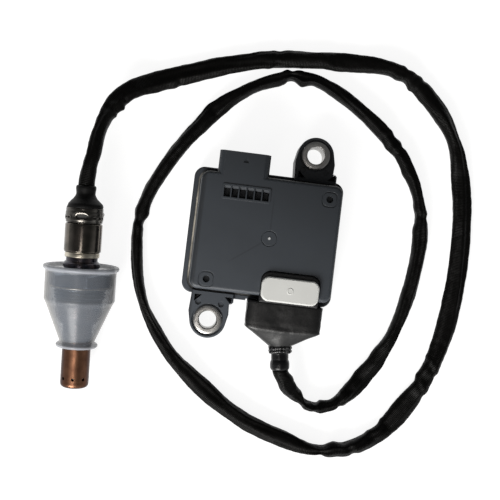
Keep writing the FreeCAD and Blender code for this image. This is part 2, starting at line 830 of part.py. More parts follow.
def make_board_chips():
    """Three flat chips on the board."""
    chips = []
    for (x, y), (length, width, height) in zip(chip_places, chip_sizes):
        chip = block(x - length / 2, x + length / 2, y - width / 2, y + width / 2, board_top,
                     board_top + height)
        chips.append(chip.makeChamfer(chip_bevel, level_edges(chip, board_top + height)))
    return Part.makeCompound(chips)


def make_board_capacitors():
    """Three round capacitors on square feet."""
    cans = []
    middle = board_top + capacitor_base
    top = board_top + capacitor_height
    for x, y in capacitor_places:
        base = block(x - capacitor_radius, x + capacitor_radius, y - capacitor_radius, y + capacitor_radius,
                     board_top, middle)
        can = upright(capacitor_radius, middle, top, x, y)
        can = can.makeFillet(capacitor_edge, level_edges(can, top))
        cans.append(one_solid(base.fuse(can)))
    return Part.makeCompound(cans)


def bent_pin(x, tip, heel, level):
    """A square pin that lies level from its tip to its heel and then stands down through the board."""
    half = pin_side / 2
    front = tip if tip < heel else heel - half
    back = tip if tip > heel else heel + half
    lying = block(x - half, x + half, front, back, level - half, level + half)
    standing = block(x - half, x + half, heel - half, heel + half, board_bottom - pin_foot, level + half)
    return one_solid(lying.fuse(standing))


def make_connector_pins():
    """The socket's six pins, from the socket down into the board."""
    return Part.makeCompound([bent_pin(x, pin_tip, pin_heel, pin_z) for x in pin_xs()])


def make_lead_header_pins():
    """The eight pins that the lead's plug goes on, from the bay down into the board."""
    tip = bay_back - header_reach
    return Part.makeCompound([bent_pin(x, tip, header_heel, terminal_z) for x in header_xs()])


def make_lead_plug():
    """Plug body in the bay, with a tail and a flange that carry the boot and a channel for each terminal.

    Its back corners follow the bay's, and its front end is square.
    """
    corner = bay_corner - free_gap
    body = rounded_block(plug_left, plug_right, boot_start - corner, plug_front, corner, bay_floor, plug_top)
    body = body.cut(block(boot_left, boot_right, boot_straight, boot_start, 0, plug_top + 1.0))
    body = body.makeChamfer(plug_bevel, level_edges(body, plug_top))
    tail = block(plug_left, plug_right, plug_end, boot_start, bay_floor, plug_tail_top)
    inset = boot_wall + seat_gap
    flange = rounded_block(boot_left + inset, boot_right - inset, boot_bottom + inset, boot_top - inset,
                           boot_corner, 0, plug_flange)
    flange.rotate(FreeCAD.Vector(0, 0, 0), FreeCAD.Vector(1, 0, 0), 90)
    flange.translate(FreeCAD.Vector(0, boot_start - plug_flange, 0))
    body = body.fuse([tail, flange])
    rooms = []
    half = terminal_side / 2
    for x in header_xs():
        rooms.append(block(x - half, x + half, plug_end - 1.0, plug_front + 1.0, terminal_z - half,
                           terminal_z + half))
    for x in cap_leg_xs():
        rooms.append(block(x - cap_leg / 2, x + cap_leg / 2, cap_y - cap_leg_half, cap_y + cap_leg_half,
                           plug_top - cap_leg_depth - free_gap, plug_top + 1.0))
    return one_solid(body.cut(rooms))


def cap_leg_xs():
    return [bay_x - cap_length / 4, bay_x + cap_length / 4]


def make_plug_lock_cap():
    """White cap on the plug: a round-cornered plate with two legs that key into the plug."""
    half_l = cap_length / 2
    half_w = cap_width / 2
    plate = rounded_block(bay_x - half_l, bay_x + half_l, cap_y - half_w, cap_y + half_w, cap_corner,
                          plug_top, cap_top)
    plate = plate.makeFillet(cap_edge, level_edges(plate, cap_top))
    legs = []
    slim = cap_leg / 2 - seat_gap
    for x in cap_leg_xs():
        legs.append(block(x - slim, x + slim, cap_y - cap_leg_half + seat_gap,
                          cap_y + cap_leg_half - seat_gap, plug_top - cap_leg_depth, plug_top + 1.0))
    dot = upright(cap_gate, cap_top - mark_root, cap_top + cap_gate_rise, bay_x, cap_y)
    return one_solid(plate.fuse(legs + [dot]))


def make_lead_terminals():
    """Eight box terminals, each with a square bore at the front for its pin."""
    parts = []
    half = terminal_side / 2
    bore = terminal_bore / 2
    for x in header_xs():
        box = block(x - half, x + half, terminal_front - terminal_length, terminal_front, terminal_z - half,
                    terminal_z + half)
        hole = block(x - bore, x + bore, terminal_front - header_reach, terminal_front + 1.0,
                     terminal_z - bore, terminal_z + bore)
        parts.append(box.cut(hole))
    return Part.makeCompound(parts)


def neck_circle(radius, along):
    """Circle across the neck's axis at a distance along it from the boot's end."""
    centre = neck_place.multVec(FreeCAD.Vector(0, 0, along))
    return Part.Wire([Part.makeCircle(radius, centre, neck_dir)])


def upright_outline(left, right, bottom, top, radius, y):
    """Closed wire of a round-cornered rectangle that stands across Y."""
    wire = rounded_outline(left, right, bottom, top, radius, 0)
    wire.rotate(FreeCAD.Vector(0, 0, 0), FreeCAD.Vector(1, 0, 0), 90)
    wire.translate(FreeCAD.Vector(0, y, 0))
    return wire


def make_boot_form(inset, start, end_gap):
    """The boot's straight part and its funnel, moved in by a distance."""
    corner = boot_corner - inset / 2
    sides = (boot_left + inset, boot_right - inset, boot_bottom + inset, boot_top - inset, corner)
    back = upright_outline(*sides, start)
    straight = Part.Face(back).extrude(FreeCAD.Vector(0, boot_straight - start, 0))
    waist = upright_outline(*sides, boot_straight)
    funnel = Part.makeLoft([waist, neck_circle(neck_radius - inset, 0)], True, True)
    neck = Part.Face(neck_circle(neck_radius - inset, 0)).extrude(neck_dir * end_gap)
    return straight, funnel, neck


def make_lead_boot():
    """Rubber boot: a flat rectangular mouth that narrows in facets to a round neck, hollow throughout."""
    straight, funnel, neck = make_boot_form(0, boot_start, collar_length)
    outer = straight.fuse([funnel])
    inner_straight, inner_funnel, bore = make_boot_form(boot_wall, boot_start + 1.0, collar_length)
    return one_solid(outer.cut([inner_straight, inner_funnel, bore]))


def make_boot_collar():
    """Ridged collar that ends the boot."""
    points = [(lead_bore, 0), (neck_radius, 0)]
    step = collar_length / collar_ridge_count
    for i in range(collar_ridge_count):
        points.append((collar_radius, step * (i + 0.5)))
        points.append((collar_valley, step * (i + 1)))
    points.append((lead_bore, collar_length))
    collar = turned(points)
    collar.Placement = neck_place
    return collar


def make_neck_sleeve():
    """Shrunk sleeve over the lead's first length, with one bulge near its end."""
    sleeve = turned([
        (lead_bore, collar_length),
        (sleeve_radius, collar_length),
        (sleeve_radius, sleeve_end - bulge_start),
        (sleeve_bulge, sleeve_end - bulge_full),
        (sleeve_bulge, sleeve_end - bulge_end),
        (lead_seat, sleeve_end),
        (lead_bore, sleeve_end),
    ])
    sleeve.Placement = neck_place
    return sleeve


def make_lead_wires():
    """The eight wires that fan out inside the boot from the neck to the terminals."""
    wires = []
    start_y = terminal_front - terminal_length
    for i, x in enumerate(header_xs()):
        pair = i // 2
        side = 1 if i % 2 else -1
        angle = math.radians(180 - (22.5 + pair * 45))
        across = wire_circle * math.cos(angle)
        rise = side * wire_circle * math.sin(angle)
        points = [
            FreeCAD.Vector(x, start_y, terminal_z),
            FreeCAD.Vector(x, plug_end - wire_turn_gap, terminal_z),
            neck_place.multVec(FreeCAD.Vector(across, rise, -wire_lead_in)),
            neck_place.multVec(FreeCAD.Vector(across, rise, sleeve_end - seat_gap)),
        ]
        wires.append(tube_along(points, wire_radius)[0])
    return Part.makeCompound(wires)


def make_lead():
    """The lead's plain tube from the neck sleeve to the probe's grommet."""
    points = [sleeve_end_point, lead_start_lead_out]
    points += [FreeCAD.Vector(*place) for place in lead_route]
    points += [lead_end_lead_in, lead_end_point]
    tube, path, radii = tube_along(points, lead_radius)
    print("lead radii", [round(r, 1) for r in radii])
    runs = [round(a.distanceToPoint(b), 1) for a, b in zip(points, points[1:])]
    print("lead runs", runs, "length", round(path.Length, 1))
    print("lead volume against section times length", round(tube.Volume, 1),
          round(math.pi * lead_radius ** 2 * path.Length, 1),
          "lowest", round(tube.optimalBoundingBox().ZMin, 3))
    return tube


def placed(shape):
    """Moves a probe piece from its own axis to where the probe lies."""
    shape.Placement = probe_place.multiply(shape.Placement)
    return shape


def make_probe_grommet():
    """Rubber grommet: a collar round the lead, a shoulder and a plug crimped inside the ferrule."""
    inner = ferrule_radius - ferrule_wall - seat_gap
    return placed(turned([
        (lead_bore, 0),
        (grommet_radius, 0),
        (grommet_swell, grommet_collar / 2),
        (grommet_radius, grommet_collar),
        (ferrule_radius - 8 * grommet_edge, grommet_flare_end - 1.0),
        (ferrule_radius - grommet_edge, grommet_flare_end),
        (ferrule_radius - grommet_edge, ferrule_start),
        (inner, ferrule_start),
        (inner, ferrule_start + grommet_step),
        (inner - grommet_plug, ferrule_start + grommet_step + 0.4),
        (inner - grommet_plug, ferrule_end - grommet_plug_gap),
        (lead_bore, ferrule_end - grommet_plug_gap),
    ]))


def radial_cutter(width, height, u, angle):
    """A bar with round ends that cuts a window through a wall, out along one direction."""
    corner = (height - slot_flat) / 2
    bar = rounded_block(-width / 2, width / 2, u - height / 2, u + height / 2, corner, 0, ferrule_radius * 2)
    bar.rotate(FreeCAD.Vector(0, 0, 0), FreeCAD.Vector(1, 0, 0), 90)
    bar.rotate(FreeCAD.Vector(0, 0, 0), FreeCAD.Vector(0, 0, 1), angle + 90)
    return bar


def make_vent_ferrule():
    """Crimped sheet ferrule with oval air vents, a row of small slots and a rolled edge."""
    bead_start = ferrule_start + ferrule_bead_start
    bead_end = ferrule_end - ferrule_bead_end
    body = turned([
        (ferrule_radius - ferrule_wall, ferrule_start),
        (ferrule_radius, ferrule_start),
        (ferrule_radius, bead_start),
        (ferrule_radius + ferrule_bead, bead_start + ferrule_bead_rise),
        (ferrule_radius + ferrule_bead, bead_end - ferrule_bead_fall),
        (ferrule_radius, bead_end),
        (ferrule_radius, ferrule_end),
        (ferrule_radius - ferrule_wall, ferrule_end),
    ])
    cuts = []
    for i in range(vent_count):
        angle = 90 + i * 360 / vent_count
        cuts.append(radial_cutter(vent_width, vent_height, vent_u, angle))
        for step in crimp_slot_angles:
            cuts.append(radial_cutter(crimp_slot_length, crimp_slot_width, vent_u + crimp_slot_shift,
                                      angle - step))
    return placed(one_solid(body.cut(cuts)))


def make_vent_filter():
    """Porous ring behind the vents that lets air in and keeps water out."""
    outer = ferrule_radius - ferrule_wall - seat_gap
    start = ferrule_start + grommet_step + filter_gap
    return placed(ring(outer, outer - filter_wall, start, ferrule_end - filter_end_gap))


def make_probe_tube():
    """Steel tube over the contacts, drawn in to the bright weld ring at its lower end."""
    inner = tube_radius - tube_wall
    return placed(turned([
        (inner, tube_start),
        (tube_radius - tube_bevel, tube_start),
        (tube_radius, tube_start + tube_bevel_length),
        (tube_radius, weld_start - tube_round),
        (tube_radius - 0.3, weld_start - 0.3),
        (weld_radius + 0.3, weld_start),
        (weld_radius, weld_start + 0.5),
        (weld_radius, tube_end - weld_bevel_length),
        (weld_radius - weld_bevel, tube_end),
        (shell_neck + seat_gap, tube_end),
        (shell_neck + seat_gap, weld_start - 0.5),
        (inner, weld_start - tube_round - 0.3),
    ]))


def make_probe_wires():
    """Wires inside the tube, from the lead's end to the contact block."""
    wires = []
    for i in range(probe_wire_count):
        angle = 2 * math.pi * i / probe_wire_count
        x = probe_wire_circle * math.cos(angle)
        y = probe_wire_circle * math.sin(angle)
        wires.append(upright(wire_radius, seat_gap, block_start, x, y))
    return placed(Part.makeCompound(wires))


def make_contact_block():
    """Ceramic block that holds the contact springs against the sensing element."""
    body = Part.makeCylinder(block_radius, block_end - block_start, FreeCAD.Vector(0, 0, block_start))
    slot = block(-element_width / 2 - seat_gap, element_width / 2 + seat_gap,
                 -element_thick / 2 - 1.0, element_thick / 2 + 1.0, element_start - 0.5, block_end + 1.0)
    body = body.cut(slot)
    body = body.makeChamfer(block_bevel, level_edges(body, block_start))
    return placed(one_solid(body))


def make_contact_springs():
    """Leaf springs that press on the element's contact pads from both sides."""
    leaves = []
    pitch = element_width / (spring_count / 2)
    for side in (-1, 1):
        for i in range(spring_count // 2):
            x = (i - (spring_count / 2 - 1) / 2) * pitch
            near = element_thick / 2 + seat_gap
            low, high = sorted((side * near, side * (near + spring_thick)))
            leaves.append(block(x - spring_width / 2, x + spring_width / 2, low, high, element_start,
                                block_end - 0.5))
    return placed(Part.makeCompound(leaves))


def make_probe_shell():
    """Steel shell: neck, flare, the barrel that the nut turns on, the conical seat and the lower end."""
    profile = [
        (shell_bore, weld_start + 0.2),
        (shell_neck, weld_start + 0.2),
        (shell_neck, neck_end),
        (flare_radius, neck_end + flare_rise),
        (flare_radius, flare_end),
        (barrel_radius, flare_end + 0.5),
        (barrel_radius, body_start),
        (body_radius - body_bevel, body_start),
        (body_radius, body_start + body_bevel),
        (body_radius, body_end),
        (seat_radius, seat_end),
        (lower_radius, seat_end + 0.4),
    ]
    pitch = (shell_end - seat_end - groove_lead) / groove_count
    for i in range(groove_count):
        u = seat_end + groove_lead + i * pitch
        profile.append((lower_radius, u))
        profile.append((lower_radius - groove_sink, u + groove_width / 2))
        profile.append((lower_radius, u + groove_width))
    profile += [
        (lower_radius, shell_end),
        (shell_bore, shell_end),
    ]
    return placed(turned(profile))


def make_gland_nut():
    """Captive gland nut: a hexagon, a washer seat and the threaded length, free to turn on the shell."""
    corner = hex_flats / 2 / math.cos(math.radians(30))
    points = []
    for i in range(6):
        angle = math.radians(60 * i + hex_turn)
        points.append((corner * math.cos(angle), corner * math.sin(angle)))
    head = prism(points, hex_start, hex_end)
    cone = turned([
        (0.0, hex_start),
        (hex_flats / 2 - 0.2, hex_start),
        (hex_corner, hex_start + hex_bevel),
        (hex_corner, hex_end),
        (0.0, hex_end),
    ])
    head = head.common(cone)
    relief = thread_radius - thread_relief
    stem = turned([
        (0.0, hex_end - 1.0),
        (relief, hex_end - 1.0),
        (relief, hex_end + thread_relief_length),
        (thread_radius, hex_end + thread_relief_length + thread_relief),
        (thread_radius, thread_end - thread_relief),
        (thread_radius - thread_relief, thread_end),
        (0.0, thread_end),
    ])
    bore = Part.makeCylinder(barrel_radius + spin_gap, thread_end, FreeCAD.Vector(0, 0, hex_start - 1.0))
    return placed(one_solid(head.fuse(stem).cut(bore)))


def make_seat_gasket():
    """Flat gasket under the hexagon."""
    return placed(ring(gasket_outer, thread_radius - thread_relief + seat_gap, hex_end, gasket_end))


def make_insulator(start, end):
    """One packed layer round the sensing element inside the shell's bore."""
    body = Part.makeCylinder(shell_bore - seat_gap, end - start, FreeCAD.Vector(0, 0, start))
    slot = block(-element_width / 2 - seat_gap / 2, element_width / 2 + seat_gap / 2,
                 -element_thick / 2 - seat_gap / 2, element_thick / 2 + seat_gap / 2, start - 1.0, end + 1.0)
    return placed(body.cut(slot))


def make_sensor_element():
    """Flat ceramic sensing element with a bevelled tip."""
    strip = block(-element_width / 2, element_width / 2, -element_thick / 2, element_thick / 2,
                  element_start, element_end)
    return placed(strip.makeChamfer(element_bevel, level_edges(strip, element_end)))


def hole_bars(radius, u, count, reach, turn):
    """Round bars that radiate from the axis, to cut gas holes."""
    bars = []
    for i in range(count):
        angle = 2 * math.pi * i / count + math.radians(turn)
        way = FreeCAD.Vector(math.cos(angle), math.sin(angle), 0)
        bars.append(Part.makeCylinder(radius, reach, FreeCAD.Vector(0, 0, u), way))
    return bars


def make_inner_protector():
    """Inner gas shield: a thin cup with a collar held in the shell's end, and a row of holes."""
    wall = protector_wall
    cup = turned([
        (inner_protector_radius - wall, inner_protector_foot),
        (shell_bore - seat_gap, inner_protector_foot),
        (shell_bore - seat_gap, inner_protector_foot + inner_protector_collar),
        (inner_protector_radius, inner_protector_foot + inner_protector_collar + 0.8),
        (inner_protector_radius, inner_protector_end - 1.0),
        (inner_protector_radius - 1.0, inner_protector_end),
        (inner_protector_hole, inner_protector_end),
        (inner_protector_hole, inner_protector_end - wall),
        (inner_protector_radius - 1.2, inner_protector_end - wall),
        (inner_protector_radius - wall, inner_protector_end - 1.2),
    ])
    bars = hole_bars(gas_hole_radius, inner_hole_u, inner_hole_count, shell_bore * 2, 0)
    return placed(one_solid(cup.cut(bars)))


def dome_half(radius, end):
    """The arc and the shallow crown of the tip's end, from the wall in to the centre hole."""
    knee = radius - (protector_end - dome_start)
    crown = end - dome_crown
    corner = Part.Arc(FreeCAD.Vector(radius, 0, dome_start),
                      FreeCAD.Vector(radius - 0.3 * (radius - knee), 0,
                                     dome_start + 0.7 * (crown - dome_start)),
                      FreeCAD.Vector(knee, 0, crown)).toShape()
    cap = Part.makeLine(FreeCAD.Vector(knee, 0, crown), FreeCAD.Vector(end_hole_radius, 0, end))
    return corner, cap


def make_outer_protector():
    """Copper coloured outer shield: a drawn cup welded to the shell's end, with a domed end."""
    inner = protector_radius - protector_wall
    corner_out, crown_out = dome_half(protector_radius, protector_end)
    corner_in, crown_in = dome_half(inner, protector_end - protector_wall)
    outline = Part.Wire([
        Part.makeLine(FreeCAD.Vector(inner, 0, shell_end), FreeCAD.Vector(protector_radius, 0, shell_end)),
        Part.makeLine(FreeCAD.Vector(protector_radius, 0, shell_end),
                      FreeCAD.Vector(protector_radius, 0, dome_start)),
        corner_out,
        crown_out,
        Part.makeLine(FreeCAD.Vector(end_hole_radius, 0, protector_end),
                      FreeCAD.Vector(end_hole_radius, 0, protector_end - protector_wall)),
        crown_in,
        corner_in,
        Part.makeLine(FreeCAD.Vector(inner, 0, dome_start), FreeCAD.Vector(inner, 0, shell_end)),
    ])
    cup = Part.Face(outline).revolve(FreeCAD.Vector(0, 0, 0), FreeCAD.Vector(0, 0, 1), 360)
    bars = hole_bars(gas_hole_radius, gas_hole_u, gas_hole_count, protector_radius * 2, 90)
    return placed(one_solid(cup.cut(bars)))


def make_protective_cap():
    """Thin translucent cap: rolled rim, cylinder over the nut, cone, and a foot flange round the tip."""
    wall = shield_wall
    outer = shield_outer
    bore = protector_radius + free_gap
    rim = shield_rim_radius
    cap = turned([
        (shield_inner, shield_rim_start),
        (rim - shield_rim_round, shield_rim_start),
        (rim, shield_rim_start + shield_rim_round),
        (rim, shield_rim_end - shield_rim_round),
        (rim - shield_rim_round, shield_rim_end),
        (outer, shield_rim_end + shield_rim_round),
        (outer, shield_cone_start),
        (outer - shield_shoulder, shield_cone_start + 1.0),
        (shield_neck + wall, shield_cone_end),
        (shield_neck + wall - 0.3, shield_foot_start),
        (shield_foot_radius - shield_foot_round, shield_foot_start),
        (shield_foot_radius, shield_foot_start + shield_foot_round),
        (shield_foot_radius, shield_foot_end - shield_foot_round),
        (shield_foot_radius - shield_foot_round, shield_foot_end),
        (bore, shield_foot_end),
        (bore, shield_foot_start),
        (shield_neck, shield_cone_end),
        (shield_inner - shield_shoulder, shield_cone_start + 1.0),
        (shield_inner, shield_cone_start),
    ])
    return placed(cap)


def main():
    export(make_case_base(), "case_base")
    export(make_case_cover(), "case_cover")
    export(make_case_sealant(), "case_sealant")
    export(make_bush(bush_upper_place), "bush_upper")
    export(make_bush(bush_lower_place), "bush_lower")
    export(make_circuit_board(), "circuit_board")
    export(make_board_chips(), "board_chips")
    export(make_board_capacitors(), "board_capacitors")
    export(make_connector_pins(), "connector_pins")
    export(make_lead_header_pins(), "lead_header_pins")
    export(make_lead_plug(), "lead_plug")
    export(make_plug_lock_cap(), "plug_lock_cap")
    export(make_lead_terminals(), "lead_terminals")
    export(make_lead_wires(), "lead_wires")
    export(make_lead_boot(), "lead_boot")
    export(make_boot_collar(), "boot_collar")
    export(make_neck_sleeve(), "neck_sleeve")
    export(make_lead(), "lead_cable")
    export(make_probe_grommet(), "probe_grommet")
    export(make_vent_ferrule(), "vent_ferrule")
    export(make_vent_filter(), "vent_filter")
    export(make_probe_tube(), "probe_tube")
    export(make_probe_wires(), "probe_wires")
    export(make_contact_block(), "contact_block")
    export(make_contact_springs(), "contact_springs")
    export(make_probe_shell(), "probe_shell")
    export(make_gland_nut(), "gland_nut")
    export(make_seat_gasket(), "seat_gasket")
    start = insulator_start
    for name, length in zip(("upper_insulator", "talc_packing", "lower_insulator"), insulator_lengths):
        export(make_insulator(start, start + length), name)
        start += length + seat_gap
    export(make_sensor_element(), "sensor_element")
    export(make_inner_protector(), "inner_protector")
    export(make_outer_protector(), "outer_protector")
    export(make_protective_cap(), "protective_cap")


os.makedirs("parts", exist_ok=True)
main()
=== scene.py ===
"""A nitrogen oxide sensor on a white ground: how its control unit, its sleeved lead and its probe look.

Shapes are written in millimetres and built in metres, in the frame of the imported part. The camera, the lamps
and the floor are in metres. Colours are linear.
"""
import json
import math

import bmesh
import bpy
import numpy as np
from mathutils import Matrix, Vector, noise


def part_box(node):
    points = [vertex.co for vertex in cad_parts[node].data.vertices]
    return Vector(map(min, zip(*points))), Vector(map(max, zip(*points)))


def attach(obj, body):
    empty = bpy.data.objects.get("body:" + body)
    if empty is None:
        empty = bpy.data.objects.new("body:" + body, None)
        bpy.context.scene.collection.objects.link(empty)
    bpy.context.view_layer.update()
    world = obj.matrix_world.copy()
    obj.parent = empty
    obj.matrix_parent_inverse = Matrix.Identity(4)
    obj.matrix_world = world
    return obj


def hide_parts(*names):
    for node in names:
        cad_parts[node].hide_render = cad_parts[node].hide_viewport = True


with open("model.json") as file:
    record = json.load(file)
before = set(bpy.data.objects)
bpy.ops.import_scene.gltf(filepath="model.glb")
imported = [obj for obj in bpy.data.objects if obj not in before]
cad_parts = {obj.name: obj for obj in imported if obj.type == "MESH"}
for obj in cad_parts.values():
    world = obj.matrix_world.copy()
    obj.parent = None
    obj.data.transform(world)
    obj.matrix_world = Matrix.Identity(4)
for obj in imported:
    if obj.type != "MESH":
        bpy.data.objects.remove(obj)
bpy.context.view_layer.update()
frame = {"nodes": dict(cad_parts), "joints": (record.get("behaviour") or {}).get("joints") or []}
nodes = frame["nodes"]
MM = 0.001
CM_PER_M = 100
MM_PER_CM = 10
TURN = 2 * math.pi
UNIT = "sensor_unit"
NUT = "gland_nut"


# Camera at the photograph's viewing angle
camera_at = Vector((-0.025, -0.012, 0.433))
camera_aim = Vector((-0.0056, -0.0069, 0.013))
camera_up = Vector((-0.120, 0.993, 0.0))
camera_lens = 63.5
camera_sensor = 36.0
camera_clip = 0.01


def link(obj):
    """Puts an object into the scene and hands it back."""
    bpy.context.scene.collection.objects.link(obj)
    return obj


def make_camera():
    data = bpy.data.cameras.new("camera")
    data.lens = camera_lens
    data.sensor_width = camera_sensor
    data.clip_start = camera_clip
    camera = bpy.data.objects.new("camera", data)
    look = (camera_aim - camera_at).normalized()
    side = look.cross(camera_up).normalized()
    up = side.cross(look)
    turn = Matrix((side, up, -look)).transposed()
    camera.matrix_world = Matrix.Translation(camera_at) @ turn.to_4x4()
    bpy.context.scene.camera = link(camera)


make_camera()
bpy.context.scene.view_settings.view_transform = "Standard"


# Fields and meshes
def smooth(x, low, high):
    """Goes softly from 0 at low to 1 at high."""
    t = np.clip((x - low) / (high - low), 0, 1)
    return t * t * (3 - 2 * t)


def bell(x, width):
    """A soft hump: 1 at 0, about a third at the width on either side."""
    return np.exp(-(x / width) ** 2)


def from_zero(angle):
    """The angle less whole turns, so that it is at most half a turn either way."""
    return (angle + math.pi) % TURN - math.pi


def rough_field(points, size, seed):
    """Smooth random values from -1 to 1 at points given in millimetres, with lumps of about that size."""
    shift = Vector((seed * 17.3, seed * 5.1, seed * 9.7))
    flat = points.reshape(-1, 3) / size
    values = [noise.noise(Vector(p) + shift) for p in flat]
    return np.array(values).reshape(points.shape[:-1])


def loft(name, rings, loop=False):
    """A mesh through rings of points in metres: rings[i][j] is point j of ring i.

    loop joins the last ring to the first; without it the two ends are closed. The map's U goes round a ring,
    and its V is the distance from ring to ring in centimetres.
    """
    count, around = rings.shape[:2]
    steps = np.linalg.norm(np.roll(rings, -1, axis=0) - rings, axis=2).mean(axis=1)
    along = np.concatenate([[0], np.cumsum(steps)]) * CM_PER_M
    faces = []
    corners = []
    last = count if loop else count - 1
    for i in range(last):
        after = (i + 1) % count
        for j in range(around):
            beside = (j + 1) % around
            faces.append((i * around + j, i * around + beside, after * around + beside, after * around + j))
            u0 = j / around
            u1 = (j + 1) / around
            corners += [(u0, along[i]), (u1, along[i]), (u1, along[i + 1]), (u0, along[i + 1])]
    if not loop:
        for ring, way in ((0, -1), (count - 1, 1)):
            faces.append([ring * around + j for j in range(around)][::way])
            corners += [(0.5, along[ring])] * around
    mesh = bpy.data.meshes.new(name)
    mesh.from_pydata(rings.reshape(-1, 3).tolist(), [], faces)
    layer = mesh.uv_layers.new(name="lay")
    layer.data.foreach_set("uv", np.array(corners, np.float32).ravel())
    work = bmesh.new()
    work.from_mesh(mesh)
    bmesh.ops.recalc_face_normals(work, faces=work.faces)
    work.to_mesh(mesh)
    work.free()
    mesh.shade_smooth()
    return link(bpy.data.objects.new(name, mesh))


def rounded(outline, amount):
    """The closed outline with each corner replaced by a short curve that starts at most that far from it."""
    most_of_side = 0.45
    steps = 3
    points = [np.array(p, float) for p in outline]
    result = []
    for i, corner in enumerate(points):
        to_before = points[i - 1] - corner
        to_after = points[(i + 1) % len(points)] - corner
        start = corner + to_before * min(most_of_side, amount / np.linalg.norm(to_before))
        end = corner + to_after * min(most_of_side, amount / np.linalg.norm(to_after))
        for k in range(steps + 1):
            t = k / steps
            result.append((1 - t) ** 2 * start + 2 * t * (1 - t) * corner + t * t * end)
    return np.array(result)


def finer(outline, step):
    """The closed outline with points added so that none of its sides is longer than a step."""
    result = []
    for a, b in zip(outline, np.roll(outline, -1, axis=0)):
        parts = max(1, int(math.ceil(np.linalg.norm(b - a) / step)))
        for k in range(parts):
            result.append(a + (b - a) * k / parts)
    return np.array(result)


# The probe's own frame: stations run along its axis from the grommet's face, in millimetres
joint = frame["joints"][0]
hex_middle = 43.4
probe_axis = np.array(Vector(joint["axis"]).normalized())
probe_origin = np.array(joint["pos_m"]) - probe_axis * hex_middle * MM
probe_side = np.cross((0, 0, 1), probe_axis)
probe_side = probe_side / np.linalg.norm(probe_side)
probe_up = np.cross(probe_axis, probe_side)


def on_probe(radius, station, angle):
    """Point in metres at a radius and station in millimetres, the angle from the probe's side upwards."""
    radius, station, angle = np.broadcast_arrays(radius, station, angle)
    out = np.cos(angle)[..., None] * probe_side + np.sin(angle)[..., None] * probe_up
    return probe_origin + MM * (station[..., None] * probe_axis + radius[..., None] * out)


def turned(name, outline, segments, shift=None, place=on_probe):
    """A closed body of revolution from an outline of (radius, station) in millimetres.

    shift may change radius and station by the angle, and place puts them on the probe or another axis.
    """
    outline = np.asarray(outline, float)
    angle = np.arange(segments) * TURN / segments
    radius = np.repeat(outline[:, :1], segments, axis=1)
    station = np.repeat(outline[:, 1:], segments, axis=1)
    angle = np.repeat(angle[None, :], len(outline), axis=0)
    if shift is not None:
        radius, station = shift(radius, station, angle)
    return loft(name, place(radius, station, angle), loop=True)


def cut(obj, cutters):
    """Cuts the cutters out of a piece and removes them."""
    for cutter in cutters:
        bit = obj.modifiers.new("cut", "BOOLEAN")
        bit.operation = "DIFFERENCE"
        bit.solver = "EXACT"
        bit.object = cutter
    graph = bpy.context.evaluated_depsgraph_get()
    mesh = bpy.data.meshes.new_from_object(obj.evaluated_get(graph))
    obj.modifiers.clear()
    obj.data = mesh
    for cutter in cutters:
        bpy.data.objects.remove(cutter)


def radial_pin(width, height, station, angle, reach, corners=12):
    """An oval bar that stands out from the probe's axis over a reach, to cut a window in a wall."""
    way = math.cos(angle) * probe_side + math.sin(angle) * probe_up
    across = -math.sin(angle) * probe_side + math.cos(angle) * probe_up
    half = max(width - height, 0) / 2
    ring = []
    for k in range(corners * 2):
        turn = TURN * (k + 0.5) / (corners * 2)
        shift = half if math.cos(turn) > 0 else -half
        ring.append((shift + height / 2 * math.cos(turn), height / 2 * math.sin(turn)))
    rings = []
    for radius in reach:
        points = [(station + v) * probe_axis + radius * way + u * across for u, v in ring]
        rings.append([probe_origin + MM * point for point in points])
    return loft("pin", np.array(rings))


# Materials
def add_node(tree, kind, inputs=None, **settings):
    """A new node with its settings and inputs, which are plain values or the sockets of other nodes."""
    made = tree.nodes.new(kind)
    for key, value in settings.items():
        setattr(made, key, value)
    for key, value in (inputs or {}).items():
        if isinstance(value, bpy.types.NodeSocket):
            tree.links.new(value, made.inputs[key])
        else:
            made.inputs[key].default_value = value
    return made


